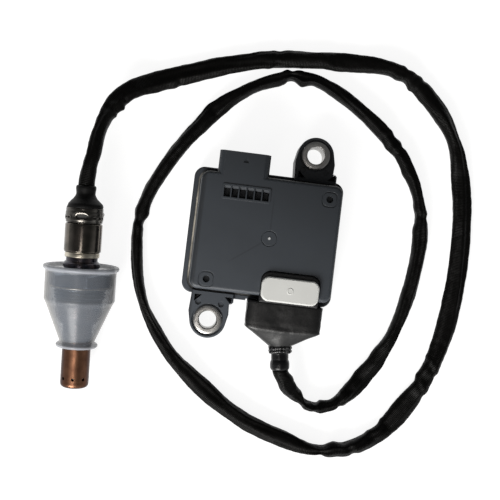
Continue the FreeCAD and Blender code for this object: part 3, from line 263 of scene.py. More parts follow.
class Finish:
    """A node material that is put together step by step."""

    def __init__(self, name, colour, roughness, **sockets):
        self.material = bpy.data.materials.new(name)
        self.material.use_nodes = True
        self.tree = self.material.node_tree
        self.shader = self.tree.nodes["Principled BSDF"]
        self.shader.inputs["Base Color"].default_value = (*colour, 1)
        self.shader.inputs["Roughness"].default_value = roughness
        for socket, value in sockets.items():
            self.shader.inputs[socket.replace("_", " ")].default_value = value
        self.colour = colour
        self.relief = None

    def node(self, kind, inputs=None, **settings):
        return add_node(self.tree, kind, inputs, **settings)

    def drive(self, socket, field):
        """Links a field to one of the shader's sockets."""
        self.tree.links.new(field, self.shader.inputs[socket])

    def math(self, operation, a, b=0.0, clamp=False):
        """A function of one or two numbers or fields."""
        return self.node("ShaderNodeMath", {0: a, 1: b}, operation=operation, use_clamp=clamp).outputs[0]

    def vector(self, operation, a, b=(0, 0, 0), output="Vector"):
        """The same for vectors. The output is Value where the result is a number."""
        return self.node("ShaderNodeVectorMath", {0: a, 1: b}, operation=operation).outputs[output]

    def product(self, *fields):
        result = fields[0]
        for field in fields[1:]:
            result = self.math("MULTIPLY", result, field)
        return result

    def mean(self, a, b):
        return self.math("MULTIPLY", self.math("ADD", a, b), 0.5)

    def place(self):
        """Place on the object, in metres."""
        return self.node("ShaderNodeTexCoord").outputs["Object"]

    def place_axes(self):
        """The place's three coordinates."""
        return self.node("ShaderNodeSeparateXYZ", {0: self.place()}).outputs

    def lay(self):
        """The mesh's own map, as its two numbers."""
        split = self.node("ShaderNodeSeparateXYZ", {0: self.node("ShaderNodeUVMap", uv_map="lay").outputs[0]})
        return split.outputs[0], split.outputs[1]

    def station(self):
        """Distance along the probe's axis in metres."""
        from_origin = self.vector("SUBTRACT", self.place(), tuple(probe_origin))
        return self.vector("DOT_PRODUCT", from_origin, tuple(probe_axis), "Value")

    def reach(self, centre):
        """Distance in metres from an upright line through a centre."""
        away = self.vector("SUBTRACT", self.place(), centre)
        return self.vector("LENGTH", self.vector("MULTIPLY", away, (1, 1, 0)), output="Value")

    def noise(self, size, detail=2.0, where=None):
        """Random field from 0 to 1 with lumps of about that size in metres."""
        inputs = {"Vector": where or self.place(), "Scale": 1 / size, "Detail": detail}
        return self.node("ShaderNodeTexNoise", inputs).outputs[0]

    def spread(self, field, low, high, to_low, to_high):
        """The field's range from low to high brought to another range, and held beyond it."""
        return self.node("ShaderNodeMapRange", {0: field, 1: low, 2: high, 3: to_low, 4: to_high}).outputs[0]

    def blend(self, factor, first, second):
        """A colour between two colours or sockets."""
        made = self.node("ShaderNodeMix", data_type="RGBA")
        for index, value in ((0, factor), (6, first), (7, second)):
            if isinstance(value, bpy.types.NodeSocket):
                self.tree.links.new(value, made.inputs[index])
            else:
                made.inputs[index].default_value = value if index == 0 else (*value, 1)
        return made.outputs[2]

    def tint(self, factor, second, first=None):
        """Base colour that goes from the first colour, or the plain one, to the second."""
        colour = self.blend(factor, first or self.colour, second)
        self.drive("Base Color", colour)
        return colour

    def polish(self, field, low, high):
        """Roughness that follows a field of 0 to 1."""
        self.drive("Roughness", self.spread(field, 0.0, 1.0, low, high))

    def soften(self, radius):
        """Rounds the look of sharp edges by about that radius in metres."""
        self.relief = self.node("ShaderNodeBevel", {"Radius": radius}, samples=4).outputs[0]
        self.drive("Normal", self.relief)

    def bump(self, height, depth, strength=1.0):
        """Adds relief of about that depth in metres."""
        inputs = {"Height": height, "Distance": depth, "Strength": strength}
        if self.relief is not None:
            inputs["Normal"] = self.relief
        self.relief = self.node("ShaderNodeBump", inputs).outputs[0]
        self.drive("Normal", self.relief)


def moulded(name, colour, roughness, grain=0.35, depth=0.012, shade=0.82, edge=0.0, **sockets):
    """Moulded plastic: eroded grain, faint flow marks and a roughness that wanders a little.

    grain, its depth and the softened edge are in millimetres, and shade is how dark the flow marks are.
    """
    flow_size = 14
    wander = 0.06
    finish = Finish(name, colour, roughness, **sockets)
    fine = finish.noise(grain * MM, 3.0)
    flow = finish.noise(flow_size * MM)
    finish.tint(finish.spread(flow, 0.3, 0.7, 0.0, 1.0), tuple(c * shade for c in colour))
    finish.polish(flow, roughness - wander, roughness + wander)
    if edge:
        finish.soften(edge * MM)
    finish.bump(fine, depth * MM)
    return finish


def metal(name, colour, roughness, rings=0.5, depth=0.004, stain=None, rim=None):
    """Turned metal with fine tool rings round the probe, and stains.

    rings is about their spacing and depth their relief, in millimetres. rim is the colour seen edge on, a
    painted dark reflection at the sides.
    """
    round_stretch = 0.8
    cloud_size = 5
    finish = Finish(name, colour, roughness, Metallic=1.0)
    round_way, along = finish.lay()
    where = finish.node("ShaderNodeCombineXYZ", {0: round_way, 1: along}).outputs[0]
    lines = finish.noise(1.0, where=finish.vector("MULTIPLY", where, (round_stretch, MM_PER_CM / rings, 1.0)))
    cloud = finish.noise(cloud_size * MM, 3.0)
    stained = finish.tint(finish.spread(cloud, 0.35, 0.75, 0.0, 1.0), stain or tuple(c * 0.8 for c in colour))
    # rim darkens the sides seen edge on: a painted dark reflection
    if rim:
        facing = finish.node("ShaderNodeLayerWeight", {"Blend": 0.5}).outputs["Facing"]
        finish.tint(finish.spread(facing, 0.08, 0.5, 0.0, 1.0), rim, stained)
    finish.polish(finish.mean(lines, cloud), roughness * 0.6, roughness * 1.5)
    finish.bump(lines, depth * MM)
    return finish


def upright_metal(name, colour, roughness, centre):
    """Turned metal of an upright sleeve, with tool rings about its own centre."""
    ring_size, cloud_size, depth = 0.45, 3, 0.006
    finish = Finish(name, colour, roughness, Metallic=1.0)
    line = finish.node("ShaderNodeCombineXYZ", {0: finish.reach(centre)}).outputs[0]
    lines = finish.noise(ring_size * MM, where=line)
    cloud = finish.noise(cloud_size * MM, 3.0)
    finish.tint(finish.spread(cloud, 0.4, 0.7, 0.0, 1.0), tuple(c * 0.72 for c in colour))
    finish.polish(finish.mean(lines, cloud), roughness * 0.7, roughness * 1.4)
    finish.bump(lines, depth * MM)
    return finish


def painted(piece, finish):
    """Gives a piece its finish and hands it back."""
    piece.data.materials.append(finish.material)
    return piece


# Light: white surroundings that dim overhead and towards the picture's upper edge, and two lamps
sky_bright_below, sky_dim_above = 0.05, 0.75       # heights of the directions, from 0 level to 1 upright
sky_front, sky_back, back_share = -0.8, 0.3, 0.10  # Y of the directions, and what is left at the back
sky_dim, sky_bright = 0.08, 0.90
sky_colour = (0.96, 0.98, 1.0, 1)
floor_reach = 3.0
floor_drop = 0.0002
floor_shade = 0.25
floor_roughness = 0.9
floor_glow = 0.9
# Lamps: name, place, point they aim at, size, watts, colour
lamps = (
    ("soft_lamp", (-0.30, -0.90, 0.62), (-0.01, 0, 0.01), (0.5, 0.35), 15.0, (1.0, 0.985, 0.96)),
    ("strip_lamp", (-0.17, -0.34, 0.66), (-0.06, -0.02, 0.02), (0.08, 0.5), 1.0, (1.0, 0.95, 0.92)),
)


def make_world():
    """Surroundings that light the object as above, and are plain white for the camera."""
    world = bpy.data.worlds.new("surroundings")
    bpy.context.scene.world = world
    world.use_nodes = True
    tree = world.node_tree
    tree.nodes.clear()

    def node(kind, inputs=None, **settings):
        return add_node(tree, kind, inputs, **settings)

    split = node("ShaderNodeSeparateXYZ", {0: node("ShaderNodeTexCoord").outputs["Generated"]}).outputs
    level = {0: split[2], 1: sky_bright_below, 2: sky_dim_above, 3: 1.0, 4: 0.0}
    height = node("ShaderNodeMapRange", level, interpolation_type="SMOOTHSTEP").outputs[0]
    level = {0: split[1], 1: sky_front, 2: sky_back, 3: 1.0, 4: back_share}
    front = node("ShaderNodeMapRange", level).outputs[0]
    low = node("ShaderNodeMath", {0: height, 1: front}, operation="MULTIPLY").outputs[0]
    strength = node("ShaderNodeMapRange", {0: low, 1: 0.0, 2: 1.0, 3: sky_dim, 4: sky_bright}).outputs[0]
    around = node("ShaderNodeBackground", {0: sky_colour, 1: strength}).outputs[0]
    white = node("ShaderNodeBackground", {0: (1, 1, 1, 1), 1: 1.0}).outputs[0]
    seen = node("ShaderNodeLightPath").outputs["Is Camera Ray"]
    mixed = node("ShaderNodeMixShader", {0: seen, 1: around, 2: white}).outputs[0]
    node("ShaderNodeOutputWorld", {0: mixed})


def make_lamp(name, place, aim, size, power, colour):
    data = bpy.data.lights.new(name, "AREA")
    data.shape = "RECTANGLE"
    data.size, data.size_y = size
    data.energy = power
    data.color = colour
    lamp = link(bpy.data.objects.new(name, data))
    lamp.location = place
    lamp.rotation_mode = "QUATERNION"
    lamp.rotation_quaternion = (Vector(place) - Vector(aim)).to_track_quat("Z", "Y")


def make_floor():
    """Ground that is white to the camera and in reflections, and takes the object's shadow."""
    ways = ((-1, -1), (1, -1), (1, 1), (-1, 1))
    corners = [(x * floor_reach, y * floor_reach, -floor_drop) for x, y in ways]
    mesh = bpy.data.meshes.new("floor")
    mesh.from_pydata(corners, [], [(0, 1, 2, 3)])
    floor = link(bpy.data.objects.new("floor", mesh))
    ground = Finish("white_ground", (floor_shade, floor_shade, floor_shade), floor_roughness,
                    Specular_IOR_Level=0.0, Emission_Color=(1, 1, 1, 1))
    rays = ground.node("ShaderNodeLightPath").outputs
    seen = ground.math("MAXIMUM", rays["Is Camera Ray"], rays["Is Glossy Ray"])
    seen = ground.math("MAXIMUM", seen, rays["Is Transmission Ray"])
    ground.drive("Emission Strength", ground.math("MULTIPLY", seen, floor_glow))
    painted(floor, ground)


make_world()
for lamp in lamps:
    make_lamp(*lamp)
make_floor()


# The lead: one smooth line from the neck sleeve, once and a half round the unit, up into the grommet
neck_at = Vector((14.2, -51.0, 11.0))
neck_turn = math.radians(6.9)
neck_way = Vector((math.sin(neck_turn), -math.cos(neck_turn), 0))
neck_side = np.array((math.cos(neck_turn), math.sin(neck_turn), 0))
neck_length, first_bend, last_run = 11.3, 16.7, 7.5
lead_start = neck_at + neck_way * neck_length
lead_out = neck_at + neck_way * first_bend
lead_end = Vector(probe_origin) / MM
lead_in = lead_end - Vector(probe_axis) * last_run
lead_ground = 3.8
lead_rise_out = [(19.0, -72.2, 9.2), (25.2, -77.0, 5.4)]
lead_on_ground = [
    (32.4, -80.9), (40.0, -81.0), (50.4, -72.8), (58.4, -61.8), (66.2, -46.0), (73.4, -24.0), (78.0, 3.0),
    (74.2, 30.2), (61.2, 51.8), (41.2, 68.4), (20.2, 78.4), (1.0, 80.4), (-20.8, 68.2), (-41.0, 45.8),
    (-56.8, 16.8), (-61.4, -8.0), (-56.4, -32.6), (-43.6, -54.6), (-22.4, -75.6), (5.0, -91.6),
    (37.2, -102.6), (65.2, -92.6), (85.1, -68.4), (96.0, -36.7), (98.4, -1.5), (96.4, 34.0), (86.4, 64.4),
    (65.4, 87.9), (36.3, 91.7), (0.0, 87.8), (-36.4, 78.7),
]
lead_rise_in = [(-63.6, 67.7, 6.4), (-78.2, 54.9, 12.0), (-82.9, 40.3, 17.5), (-83.7, 29.0, 20.4)]
lead_route = lead_rise_out + [(x, y, lead_ground) for x, y in lead_on_ground] + lead_rise_in

# How far the loose sleeving reaches to the left and right of that line, by the distance along it
sleeving_reach = [
    (0, 3.9, 3.6), (7, 6.4, 1.7), (18, 5.9, 1.0), (24, 3.6, 0.5), (30, 3.9, 0.9), (36, 4.8, 1.5),
    (42, 3.6, 2.0), (54, 5.1, 3.3), (60, 5.3, 3.8), (72, 4.2, 3.9), (86, 2.2, 3.9), (108, 2.9, 3.9),
    (122, 3.5, 3.5), (134, 3.4, 3.8), (146, 2.3, 3.5), (158, 2.4, 3.0), (174, 3.0, 3.3), (192, 4.0, 3.4),
    (206, 3.8, 3.0), (234, 2.1, 3.7), (240, 3.4, 3.5), (246, 1.9, 3.4), (253, 3.8, 2.7), (268, 3.0, 2.7),
    (288, 3.8, 4.5), (300, 3.8, 3.5), (324, 3.1, 3.6), (342, 2.6, 3.7), (348, 2.9, 3.8), (354, 2.1, 2.9),
    (368, 3.2, 2.3), (394, 1.9, 2.9), (414, 2.4, 3.8), (444, 4.4, 4.6), (468, 3.6, 4.2), (492, 5.0, 3.1),
    (510, 2.6, 2.3), (516, 3.2, 3.0), (522, 2.6, 4.0), (540, 3.3, 4.6), (556, 5.8, 4.8), (572, 4.3, 4.0),
    (582, 4.3, 4.1), (606, 5.3, 4.6), (636, 4.5, 4.7), (672, 4.9, 4.7), (696, 3.0, 3.4), (722, 4.9, 4.0),
    (738, 3.0, 4.0), (768, 5.1, 4.4), (780, 4.2, 3.9), (808, 3.4, 5.1), (822, 4.0, 4.8), (840, 4.9, 4.6),
    (854, 5.4, 4.9), (860, 5.1, 5.0), (870, 3.9, 5.2), (876, 3.7, 5.3), (882, 3.9, 5.2), (888, 3.7, 4.5),
    (894, 3.3, 3.7), (900, 3.4, 3.2), (912, 3.9, 3.1), (930, 3.8, 3.8),
]
# Small folds that stand out: distance, side (1 left, -1 right), height, half length
sleeving_folds = [
    (3.5, 1, 0.8, 2.0), (34, 1, 0.9, 2.5), (140, 1, 0.5, 2.5), (151, 1, 0.4, 2.0), (169, 1, 0.6, 3.0),
    (184.5, 1, 0.8, 2.5), (240, 1, 0.8, 2.6), (288, -1, 0.5, 2.5), (349, 1, 0.6, 2.5), (517, 1, 0.8, 3.0),
    (536, 1, 0.5, 2.0), (545, 1, 0.5, 2.0), (575, 1, 0.7, 3.0), (731, 1, 0.8, 2.5), (740, 1, 0.9, 2.6),
    (852.5, 1, 0.4, 1.8), (883, 1, 0.7, 1.5), (889, 1, 0.5, 1.4),
]
# Creases across the sleeving: distance, depth, half length, slant
sleeving_creases = [
    (23.5, 1.1, 1.6, 0.3), (30, 0.6, 1.2, -0.4), (44, 0.6, 1.4, 0.5), (146, 0.4, 1.5, 0.4),
    (180, 0.6, 1.4, -0.3), (189, 0.5, 1.6, 0.5), (246, 0.8, 1.6, 0.2), (353, 0.6, 1.6, 0.4),
    (510, 0.7, 2.0, 0.2), (524, 0.5, 1.6, -0.4), (570, 0.5, 1.5, 0.6), (581, 0.5, 1.5, 0.6),
    (728, 0.7, 1.4, 0.1), (736, 0.6, 1.3, -0.2), (800, 0.5, 2.0, 0.3),
]
# Creases on the left side only, in the same form
inner_creases = [
    (849, 0.5, 1.2, 0.1), (879, 0.7, 1.2, 0.3), (886.5, 0.6, 1.1, 0.3),
]
ring_step = 0.8          # from one ring of the lead's mesh to the next
ring_points = 40
girth_square = 28.2      # the sum of the squares of a section's two half axes stays about this
half_low, half_high = 2.7, 3.9
half_at_ends = 3.7
snug_ends = 9.0          # over this length the sleeving comes from its free form to its plain ends
lying_below, free_above = 4.2, 9.0
floor_clearance = 0.12
centre_lift = 0.15
section_power = 0.9      # below 1 a section is a little square
mean_radius = 4.2


def lead_line():
    """The route's smooth line, as points in millimetres."""
    curve = bpy.data.curves.new("lead_line", "CURVE")
    curve.dimensions = "3D"
    curve.resolution_u = 24
    points = [lead_start, lead_out] + [Vector(p) for p in lead_route] + [lead_in, lead_end]
    spline = curve.splines.new("NURBS")
    spline.points.add(len(points) - 1)
    for point, place in zip(spline.points, points):
        point.co = (*(place * MM), 1)
    spline.order_u = 3
    spline.use_endpoint_u = True
    holder = link(bpy.data.objects.new("lead_line", curve))
    graph = bpy.context.evaluated_depsgraph_get()
    mesh = bpy.data.meshes.new_from_object(holder.evaluated_get(graph))
    line = np.array([v.co for v in mesh.vertices]) / MM
    bpy.data.objects.remove(holder)
    return line


def even_steps(line, step):
    """The line as points at even distances, with those distances."""
    lengths = np.concatenate([[0], np.cumsum(np.linalg.norm(np.diff(line, axis=0), axis=1))])
    count = int(round(lengths[-1] / step)) + 1
    distance = np.linspace(0, lengths[-1], count)
    return np.stack([np.interp(distance, lengths, line[:, k]) for k in range(3)], axis=1), distance


def soft_rows(rows, column, distance):
    """A column of the rows at any distance, going softly from row to row."""
    starts = np.array([row[0] for row in rows], float)
    values = np.array([row[column] for row in rows], float)
    index = np.clip(np.searchsorted(starts, distance) - 1, 0, len(rows) - 2)
    share = smooth(distance, starts[index], starts[index + 1])
    return values[index] + (values[index + 1] - values[index]) * share


def sleeving_sides(distance):
    """How far the sleeving reaches to the left and to the right, with its folds."""
    reach = {1: soft_rows(sleeving_reach, 1, distance), -1: soft_rows(sleeving_reach, 2, distance)}
    for at, side, height, length in sleeving_folds:
        reach[side] = reach[side] + height * bell(distance - at, length)
    return reach[1], reach[-1]


def sleeving_relief(s, angle, x):
    """How far the sleeving stands out at a distance and angle: two wandering ridges, lumps and creases."""
    across, rise = np.cos(angle), np.sin(angle)

    def crest(at, width):
        return bell(from_zero(angle - at), width)

    # The angles of the two ridges, and the strength of the first one
    first = math.radians(70) + 0.75 * np.sin(s / 47 + 0.6) + 0.35 * np.sin(s / 19 + 2.0)
    second = math.radians(150) + 0.6 * np.sin(s / 61 + 1.9) + 0.3 * np.sin(s / 23)
    strength = 0.55 + 0.45 * np.sin(s / 33 + 1.0)
    relief = 0.42 * strength * crest(first, 0.20) - 0.38 * strength * crest(first + 0.45, 0.26)
    relief = relief + 0.35 * (1.1 - strength) * crest(second, 0.22) - 0.32 * crest(second - 0.42, 0.24)
    place = np.stack(np.broadcast_arrays(s, mean_radius * across, mean_radius * rise), axis=2)
    long_way = place * np.array([0.35, 1.0, 1.0])
    relief = relief + 0.42 * rough_field(long_way, 3.4, 3) + 0.16 * rough_field(place, 2.2, 5)
    upper = smooth(rise, -0.5, 0.1)
    for at, depth, length, slant in sleeving_creases:
        gap = s - at - slant * x
        relief = relief - depth * bell(gap, length) * upper
        relief = relief + 0.5 * depth * bell(gap - 1.6 * length, length) * upper
    for at, depth, length, slant in inner_creases:
        relief = relief - depth * bell(s - at - slant * x, length) * upper * smooth(x, 0.0, 2.5)
    return relief


def make_lead():
    """The lead's mesh, and the middles of its rings in metres."""
    line, distance = even_steps(lead_line(), ring_step)
    ahead = np.gradient(line, axis=0)
    ahead /= np.linalg.norm(ahead, axis=1)[:, None]
    left = np.cross((0, 0, 1), ahead)
    left /= np.linalg.norm(left, axis=1)[:, None]
    over = np.cross(ahead, left)
    left_reach, right_reach = sleeving_sides(distance)
    half = (left_reach + right_reach) / 2
    tall = np.sqrt(np.clip(girth_square - half ** 2, half_low ** 2, half_high ** 2))
    snug = smooth(np.minimum(distance, distance[-1] - distance), 0.0, snug_ends)
    tall = half_at_ends + (tall - half_at_ends) * snug
    grounded = 1 - smooth(line[:, 2], lying_below, free_above)
    drop = (tall + centre_lift - line[:, 2]) * grounded
    shift = (left_reach - right_reach) / 2
    centre = line + left * shift[:, None] + over * drop[:, None]

    angle = (np.arange(ring_points) * TURN / ring_points)[None, :]
    across, rise = np.cos(angle), np.sin(angle)
    x = np.sign(across) * np.abs(across) ** section_power * half[:, None]
    z = np.sign(rise) * np.abs(rise) ** section_power * tall[:, None]
    relief = sleeving_relief(distance[:, None], angle, x) * snug[:, None]
    grown = 1 + relief / np.sqrt(x ** 2 + z ** 2)
    x = x * grown
    z = np.maximum(z * grown, floor_clearance - centre[:, 2:])
    rings = centre[:, None, :] + x[..., None] * left[:, None, :] + z[..., None] * over[:, None, :]
    return loft("woven_lead", rings * MM), centre * MM


def woven_sleeving():
    """Black woven sleeving: ribs across it, finer threads along it, satin where the ribs catch light."""
    rib_spacing, rib_twist, thread_count = 0.75, 3, 44
    finish = Finish("woven_sleeving", (0.0016, 0.0015, 0.0013), 0.42, Specular_IOR_Level=0.09)
    round_way, along = finish.lay()
    unevenness = finish.math("MULTIPLY", finish.noise(2.5 * MM), 5.0)
    phase = finish.math("ADD", finish.math("MULTIPLY", along, TURN * MM_PER_CM / rib_spacing),
                        finish.math("MULTIPLY", round_way, TURN * rib_twist))
    ribs = finish.math("SINE", finish.math("ADD", phase, unevenness))
    threads = finish.math("SINE", finish.math("MULTIPLY", round_way, TURN * thread_count))
    weave = finish.math("MULTIPLY", ribs, finish.math("ADD", finish.math("MULTIPLY", threads, 0.25), 0.75))
    fuzz = finish.noise(0.25 * MM)
    worn = finish.noise(12 * MM, 3.0)
    pale = finish.math("ADD", finish.math("MULTIPLY", weave, 0.35), worn)
    finish.tint(finish.spread(pale, 0.3, 1.0, 0.0, 1.0), (0.0032, 0.0030, 0.0027))
    finish.polish(worn, 0.36, 0.52)
    finish.bump(weave, 0.05 * MM)
    finish.bump(fuzz, 0.02 * MM)
    return finish


def stand_for(piece, node, body):
    """Puts a piece in the place of a CAD node, on a body."""
    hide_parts(node)
    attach(piece, body)


lead, lead_centres = make_lead()
stand_for(painted(lead, woven_sleeving()), "lead_cable", UNIT)


# The probe's pieces, from outlines of (radius, station)
def make_grommet():
    outline = [
        (3.8, 0.0), (4.2, 0.0), (4.6, 0.4), (4.7, 1.4), (4.5, 2.8), (4.4, 3.9), (4.7, 4.8), (5.6, 6.2),
        (7.0, 7.5), (8.0, 8.4), (8.4, 9.2), (8.4, 10.4), (7.9, 10.4), (7.9, 11.8), (6.3, 12.2), (6.3, 15.2),
        (3.2, 15.2), (3.2, 9.0), (3.8, 7.0),
    ]
    notch_angle, notch_width, notch_depth = math.radians(168), 0.22, 0.9

    def dented(radius, station, angle):
        side = bell(from_zero(angle - notch_angle), notch_width)
        notch = smooth(station, 7.2, 8.2) * (1 - smooth(station, 9.4, 10.2)) * (radius > 5)
        return radius - notch_depth * side * notch, station

    finish = moulded("grommet_rubber", (0.004, 0.004, 0.004), 0.5, grain=0.8, depth=0.03,
                     Specular_IOR_Level=0.15)
    return painted(turned("grommet", finer(rounded(outline, 0.35), 0.5), 96, dented), finish)


def make_ferrule():
    """Crimped ferrule with a hooded vent on three sides and three small slots beside each."""
    outline = [
        (8.0, 10.4), (8.45, 10.4), (8.55, 10.8), (8.5, 12.0), (8.7, 12.5), (8.7, 15.8), (8.55, 16.3),
        (8.4, 16.7), (8.5, 17.2), (8.0, 17.2),
    ]
    wall_radius, outside = 8.6, 8.2
    vent_angles = [math.radians(90 + 120 * i) for i in range(3)]
    vent_size, vent_station = (5.6, 2.5), 14.3
    hood_size, hood_station, hood_height = (3.3, 1.8), 14.1, 0.42
    slot_turns = [math.radians(step) for step in (40, 58, 76)]
    slot_size, slot_station = (1.6, 0.7), 14.8
    lip_size, lip_height = (1.2, 0.75), 0.16
    through = (6.5, 10.5)

    def pressed(radius, station, angle):
        rise = 0 * radius
        for vent in vent_angles:
            x = from_zero(angle - vent) * wall_radius
            y = station - hood_station
            oval = np.sqrt((x / hood_size[0]) ** 2 + (y / hood_size[1]) ** 2)
            rise = rise + hood_height * bell(oval - 1.0, 0.24) * smooth(-y, -0.6, 1.2)
            for turn in slot_turns:
                x = from_zero(angle - vent + turn) * wall_radius
                oval = np.sqrt((x / lip_size[0]) ** 2 + ((station - slot_station) / lip_size[1]) ** 2)
                rise = rise + lip_height * bell(oval - 1.0, 0.35)
        return radius + rise * (radius > outside), station

    piece = turned("ferrule", finer(rounded(outline, 0.25), 0.3), 256, pressed)
    cutters = []
    for vent in vent_angles:
        cutters.append(radial_pin(*vent_size, vent_station, vent, through))
        for turn in slot_turns:
            cutters.append(radial_pin(*slot_size, slot_station, vent - turn, through, 5))
    cut(piece, cutters)
    piece.data.set_sharp_from_angle(angle=math.radians(50))
    return painted(piece, metal("ferrule_steel", (0.14, 0.132, 0.12), 0.26, stain=(0.035, 0.033, 0.030)))


def make_tube():
    """Polished tube that has darkened with heat in patches, with the bright weld ring at its end."""
    outline = [
        (7.8, 17.6), (8.2, 17.6), (8.6, 18.1), (8.6, 30.2), (8.4, 30.8), (8.1, 31.1), (7.85, 31.2),
        (7.9, 31.5), (8.0, 31.8), (8.0, 33.0), (7.8, 33.4), (7.4, 33.5), (7.4, 30.7), (7.8, 29.9),
    ]
    finish = Finish("tube_steel", (0.20, 0.19, 0.17), 0.20, Metallic=1.0)
    heat = finish.spread(finish.noise(6 * MM, 3.0), 0.35, 0.7, 0.0, 1.0)
    dark = finish.blend(heat, (0.085, 0.080, 0.068), (0.19, 0.165, 0.145))
    weld = finish.spread(finish.station(), 31.0 * MM, 31.3 * MM, 0.0, 1.0)
    finish.tint(weld, (0.62, 0.57, 0.47), dark)
    finish.polish(weld, 0.20, 0.38)
    finish.bump(finish.noise(0.9 * MM), 0.03 * MM, 0.3)
    return painted(turned("probe_tube_skin", rounded(outline, 0.25), 128), finish)


def make_shell():
    """Shell with its flare, the barrel under the nut, the body and four grooves in its lower end."""
    outline = [
        (5.0, 31.4), (7.3, 31.4), (7.3, 35.1), (7.6, 35.4), (8.6, 36.2), (8.7, 36.5), (8.7, 37.9),
        (7.9, 38.5), (7.9, 53.6), (10.5, 53.6), (10.9, 54.0), (10.9, 60.6), (8.6, 64.2), (7.0, 64.6),
    ]
    groove_count, first_groove, groove_step = 4, 66.2, 1.55
    for i in range(groove_count):
        station = first_groove + i * groove_step
        outline += [(7.0, station), (6.7, station + 0.25), (7.0, station + 0.5)]
    outline += [(7.0, 72.4), (5.0, 72.4)]
    # The rim colour is a painted dark reflection at the shell's sides
    finish = metal("shell_steel", (0.085, 0.09, 0.115), 0.24, stain=(0.17, 0.12, 0.11),
                   rim=(0.04, 0.04, 0.05))
    return painted(turned("shell_skin", rounded(outline, 0.12), 128), finish)


def make_nut():
    """Hexagon with a bevelled top and the threaded length as one turned grid."""
    flats, hex_turn, corner_angle = 27.0, math.radians(8.0), math.radians(60)
    start, end, thread_from, thread_to = 40.5, 46.4, 48.3, 53.0
    bore, relieved, crest, pitch, depth = 7.95, 11.2, 12.0, 1.5, 0.9
    thread_step = 0.12
    head = [(bore, start), (11.5, start), (13.3, start), (15.1, start + 1.0), (15.3, end - 0.4), (15.0, end),
            (relieved, end), (relieved, thread_from - 0.2)]
    outline = list(finer(np.array(head, float), 0.35))[:-1]
    steps = int((thread_to - thread_from) / thread_step)
    outline += [(crest, thread_from + thread_step * k) for k in range(steps + 1)]
    outline += [(relieved, thread_to), (bore, thread_to)]

    def shaped(radius, station, angle):
        turn = (angle - hex_turn) % corner_angle - corner_angle / 2
        flat = flats / 2 / np.cos(turn)
        radius = np.where(station <= end + 1e-6, np.minimum(radius, flat), radius)
        threaded = (station > thread_from - 0.1) & (radius > crest - 0.1)
        phase = (station / pitch + angle / TURN) % 1.0
        groove = depth * np.abs(2 * phase - 1)
        chamfer = depth * smooth(station, thread_to - 0.9, thread_to)
        return np.where(threaded, crest - np.maximum(groove, chamfer), radius), station

    piece = turned("nut_skin", outline, 192, shaped)
    piece.data.set_sharp_from_angle(angle=math.radians(30))
    return painted(piece, metal("nut_steel", (0.15, 0.18, 0.225), 0.33))


def make_gasket():
    outline = [(11.3, 46.4), (14.2, 46.4), (14.2, 47.4), (11.3, 47.4)]
    piece = turned("gasket_ring", rounded(outline, 0.3), 96)
    return painted(piece, metal("gasket_metal", (0.60, 0.57, 0.52), 0.35))


def make_tip():
    """Outer shield with a ring of gas holes."""
    outline = [
        (6.1, 72.4), (6.6, 72.4), (6.6, 74.8), (6.65, 75.0), (6.6, 75.2), (6.6, 92.9), (6.45, 93.7),
        (5.95, 94.4), (5.1, 94.8), (1.2, 95.35), (1.0, 95.2), (1.0, 94.9), (4.8, 94.3), (5.6, 93.9),
        (6.0, 93.4), (6.1, 92.8),
    ]
    hole_size, hole_station, hole_count, through = (1.5, 1.5), 90.3, 8, (5.0, 8.0)
    piece = turned("copper_tip", rounded(outline, 0.3), 128)
    angles = [math.radians(90 + 360 / hole_count * i) for i in range(hole_count)]
    cut(piece, [radial_pin(*hole_size, hole_station, angle, through, 8) for angle in angles])
    piece.data.set_sharp_from_angle(angle=math.radians(50))
    # The rim colour is a painted dark reflection at the shield's sides
    return painted(piece, metal("copper_steel", (0.27, 0.135, 0.078), 0.36, rings=0.8,
                                stain=(0.12, 0.055, 0.033), rim=(0.055, 0.025, 0.017)))


def make_cap():
    """Thin translucent cap, a little out of round, milkier at its rim and at its foot."""
    outline = [
        (15.6, 37.8), (16.0, 37.3), (17.0, 37.3), (17.6, 37.9), (17.6, 38.7), (17.1, 39.3), (16.6, 39.6),
        (16.4, 40.4), (16.4, 53.4), (15.9, 54.4), (15.3, 55.4), (8.1, 72.9), (8.0, 73.6), (9.0, 73.7),
        (9.7, 74.4), (9.7, 75.1), (9.0, 75.8), (6.9, 75.8), (6.9, 74.0), (7.3, 72.9), (14.5, 55.4),
        (15.3, 53.8), (15.6, 52.8),
    ]
    out_of_round = 0.10

    def uneven(radius, station, angle):
        between = smooth(station, 40.5, 42.5) * (1 - smooth(station, 50.0, 53.0))
        return radius + out_of_round * np.cos(2 * angle + 0.7) * between, station

    finish = Finish("clear_polymer", (0.20, 0.22, 0.255), 0.30, Specular_IOR_Level=0.4)
    edge = finish.node("ShaderNodeLayerWeight", {"Blend": 0.35}).outputs["Facing"]
    station = finish.station()
    rim = finish.spread(station, 39.2 * MM, 40.2 * MM, 1.0, 0.0)
    foot = finish.spread(station, 73.0 * MM, 73.8 * MM, 0.0, 1.0)
    milky = finish.math("ADD", rim, foot, clamp=True)
    clear = finish.spread(edge, 0.0, 1.0, 0.32, 0.72)
    finish.drive("Alpha", finish.math("MAXIMUM", clear, finish.math("MULTIPLY", milky, 0.62)))
    streaks = finish.noise(7 * MM, 3.0)
    wall = finish.blend(streaks, (0.195, 0.225, 0.27), (0.27, 0.285, 0.31))
    wall = finish.blend(finish.spread(edge, 0.25, 0.8, 0.0, 1.0), wall, (0.40, 0.385, 0.36))
    finish.tint(milky, (0.40, 0.42, 0.46), wall)
    finish.polish(streaks, 0.22, 0.4)
    finish.bump(finish.noise(2.5 * MM), 0.05 * MM)
    return painted(turned("clear_cap", rounded(outline, 0.35), 160, uneven), finish)


# The boot, its collar and the neck sleeve
boot_left, boot_right, boot_bottom, boot_top = -4.0, 31.8, 4.0, 21.0
boot_mouth, boot_waist = -30.3, -42.6
boot_wall = 1.3
boot_neck = 5.1
boot_power = 9.0         # the higher, the squarer the boot's corners
boot_points = 120
upright = np.array((0, 0, 1))


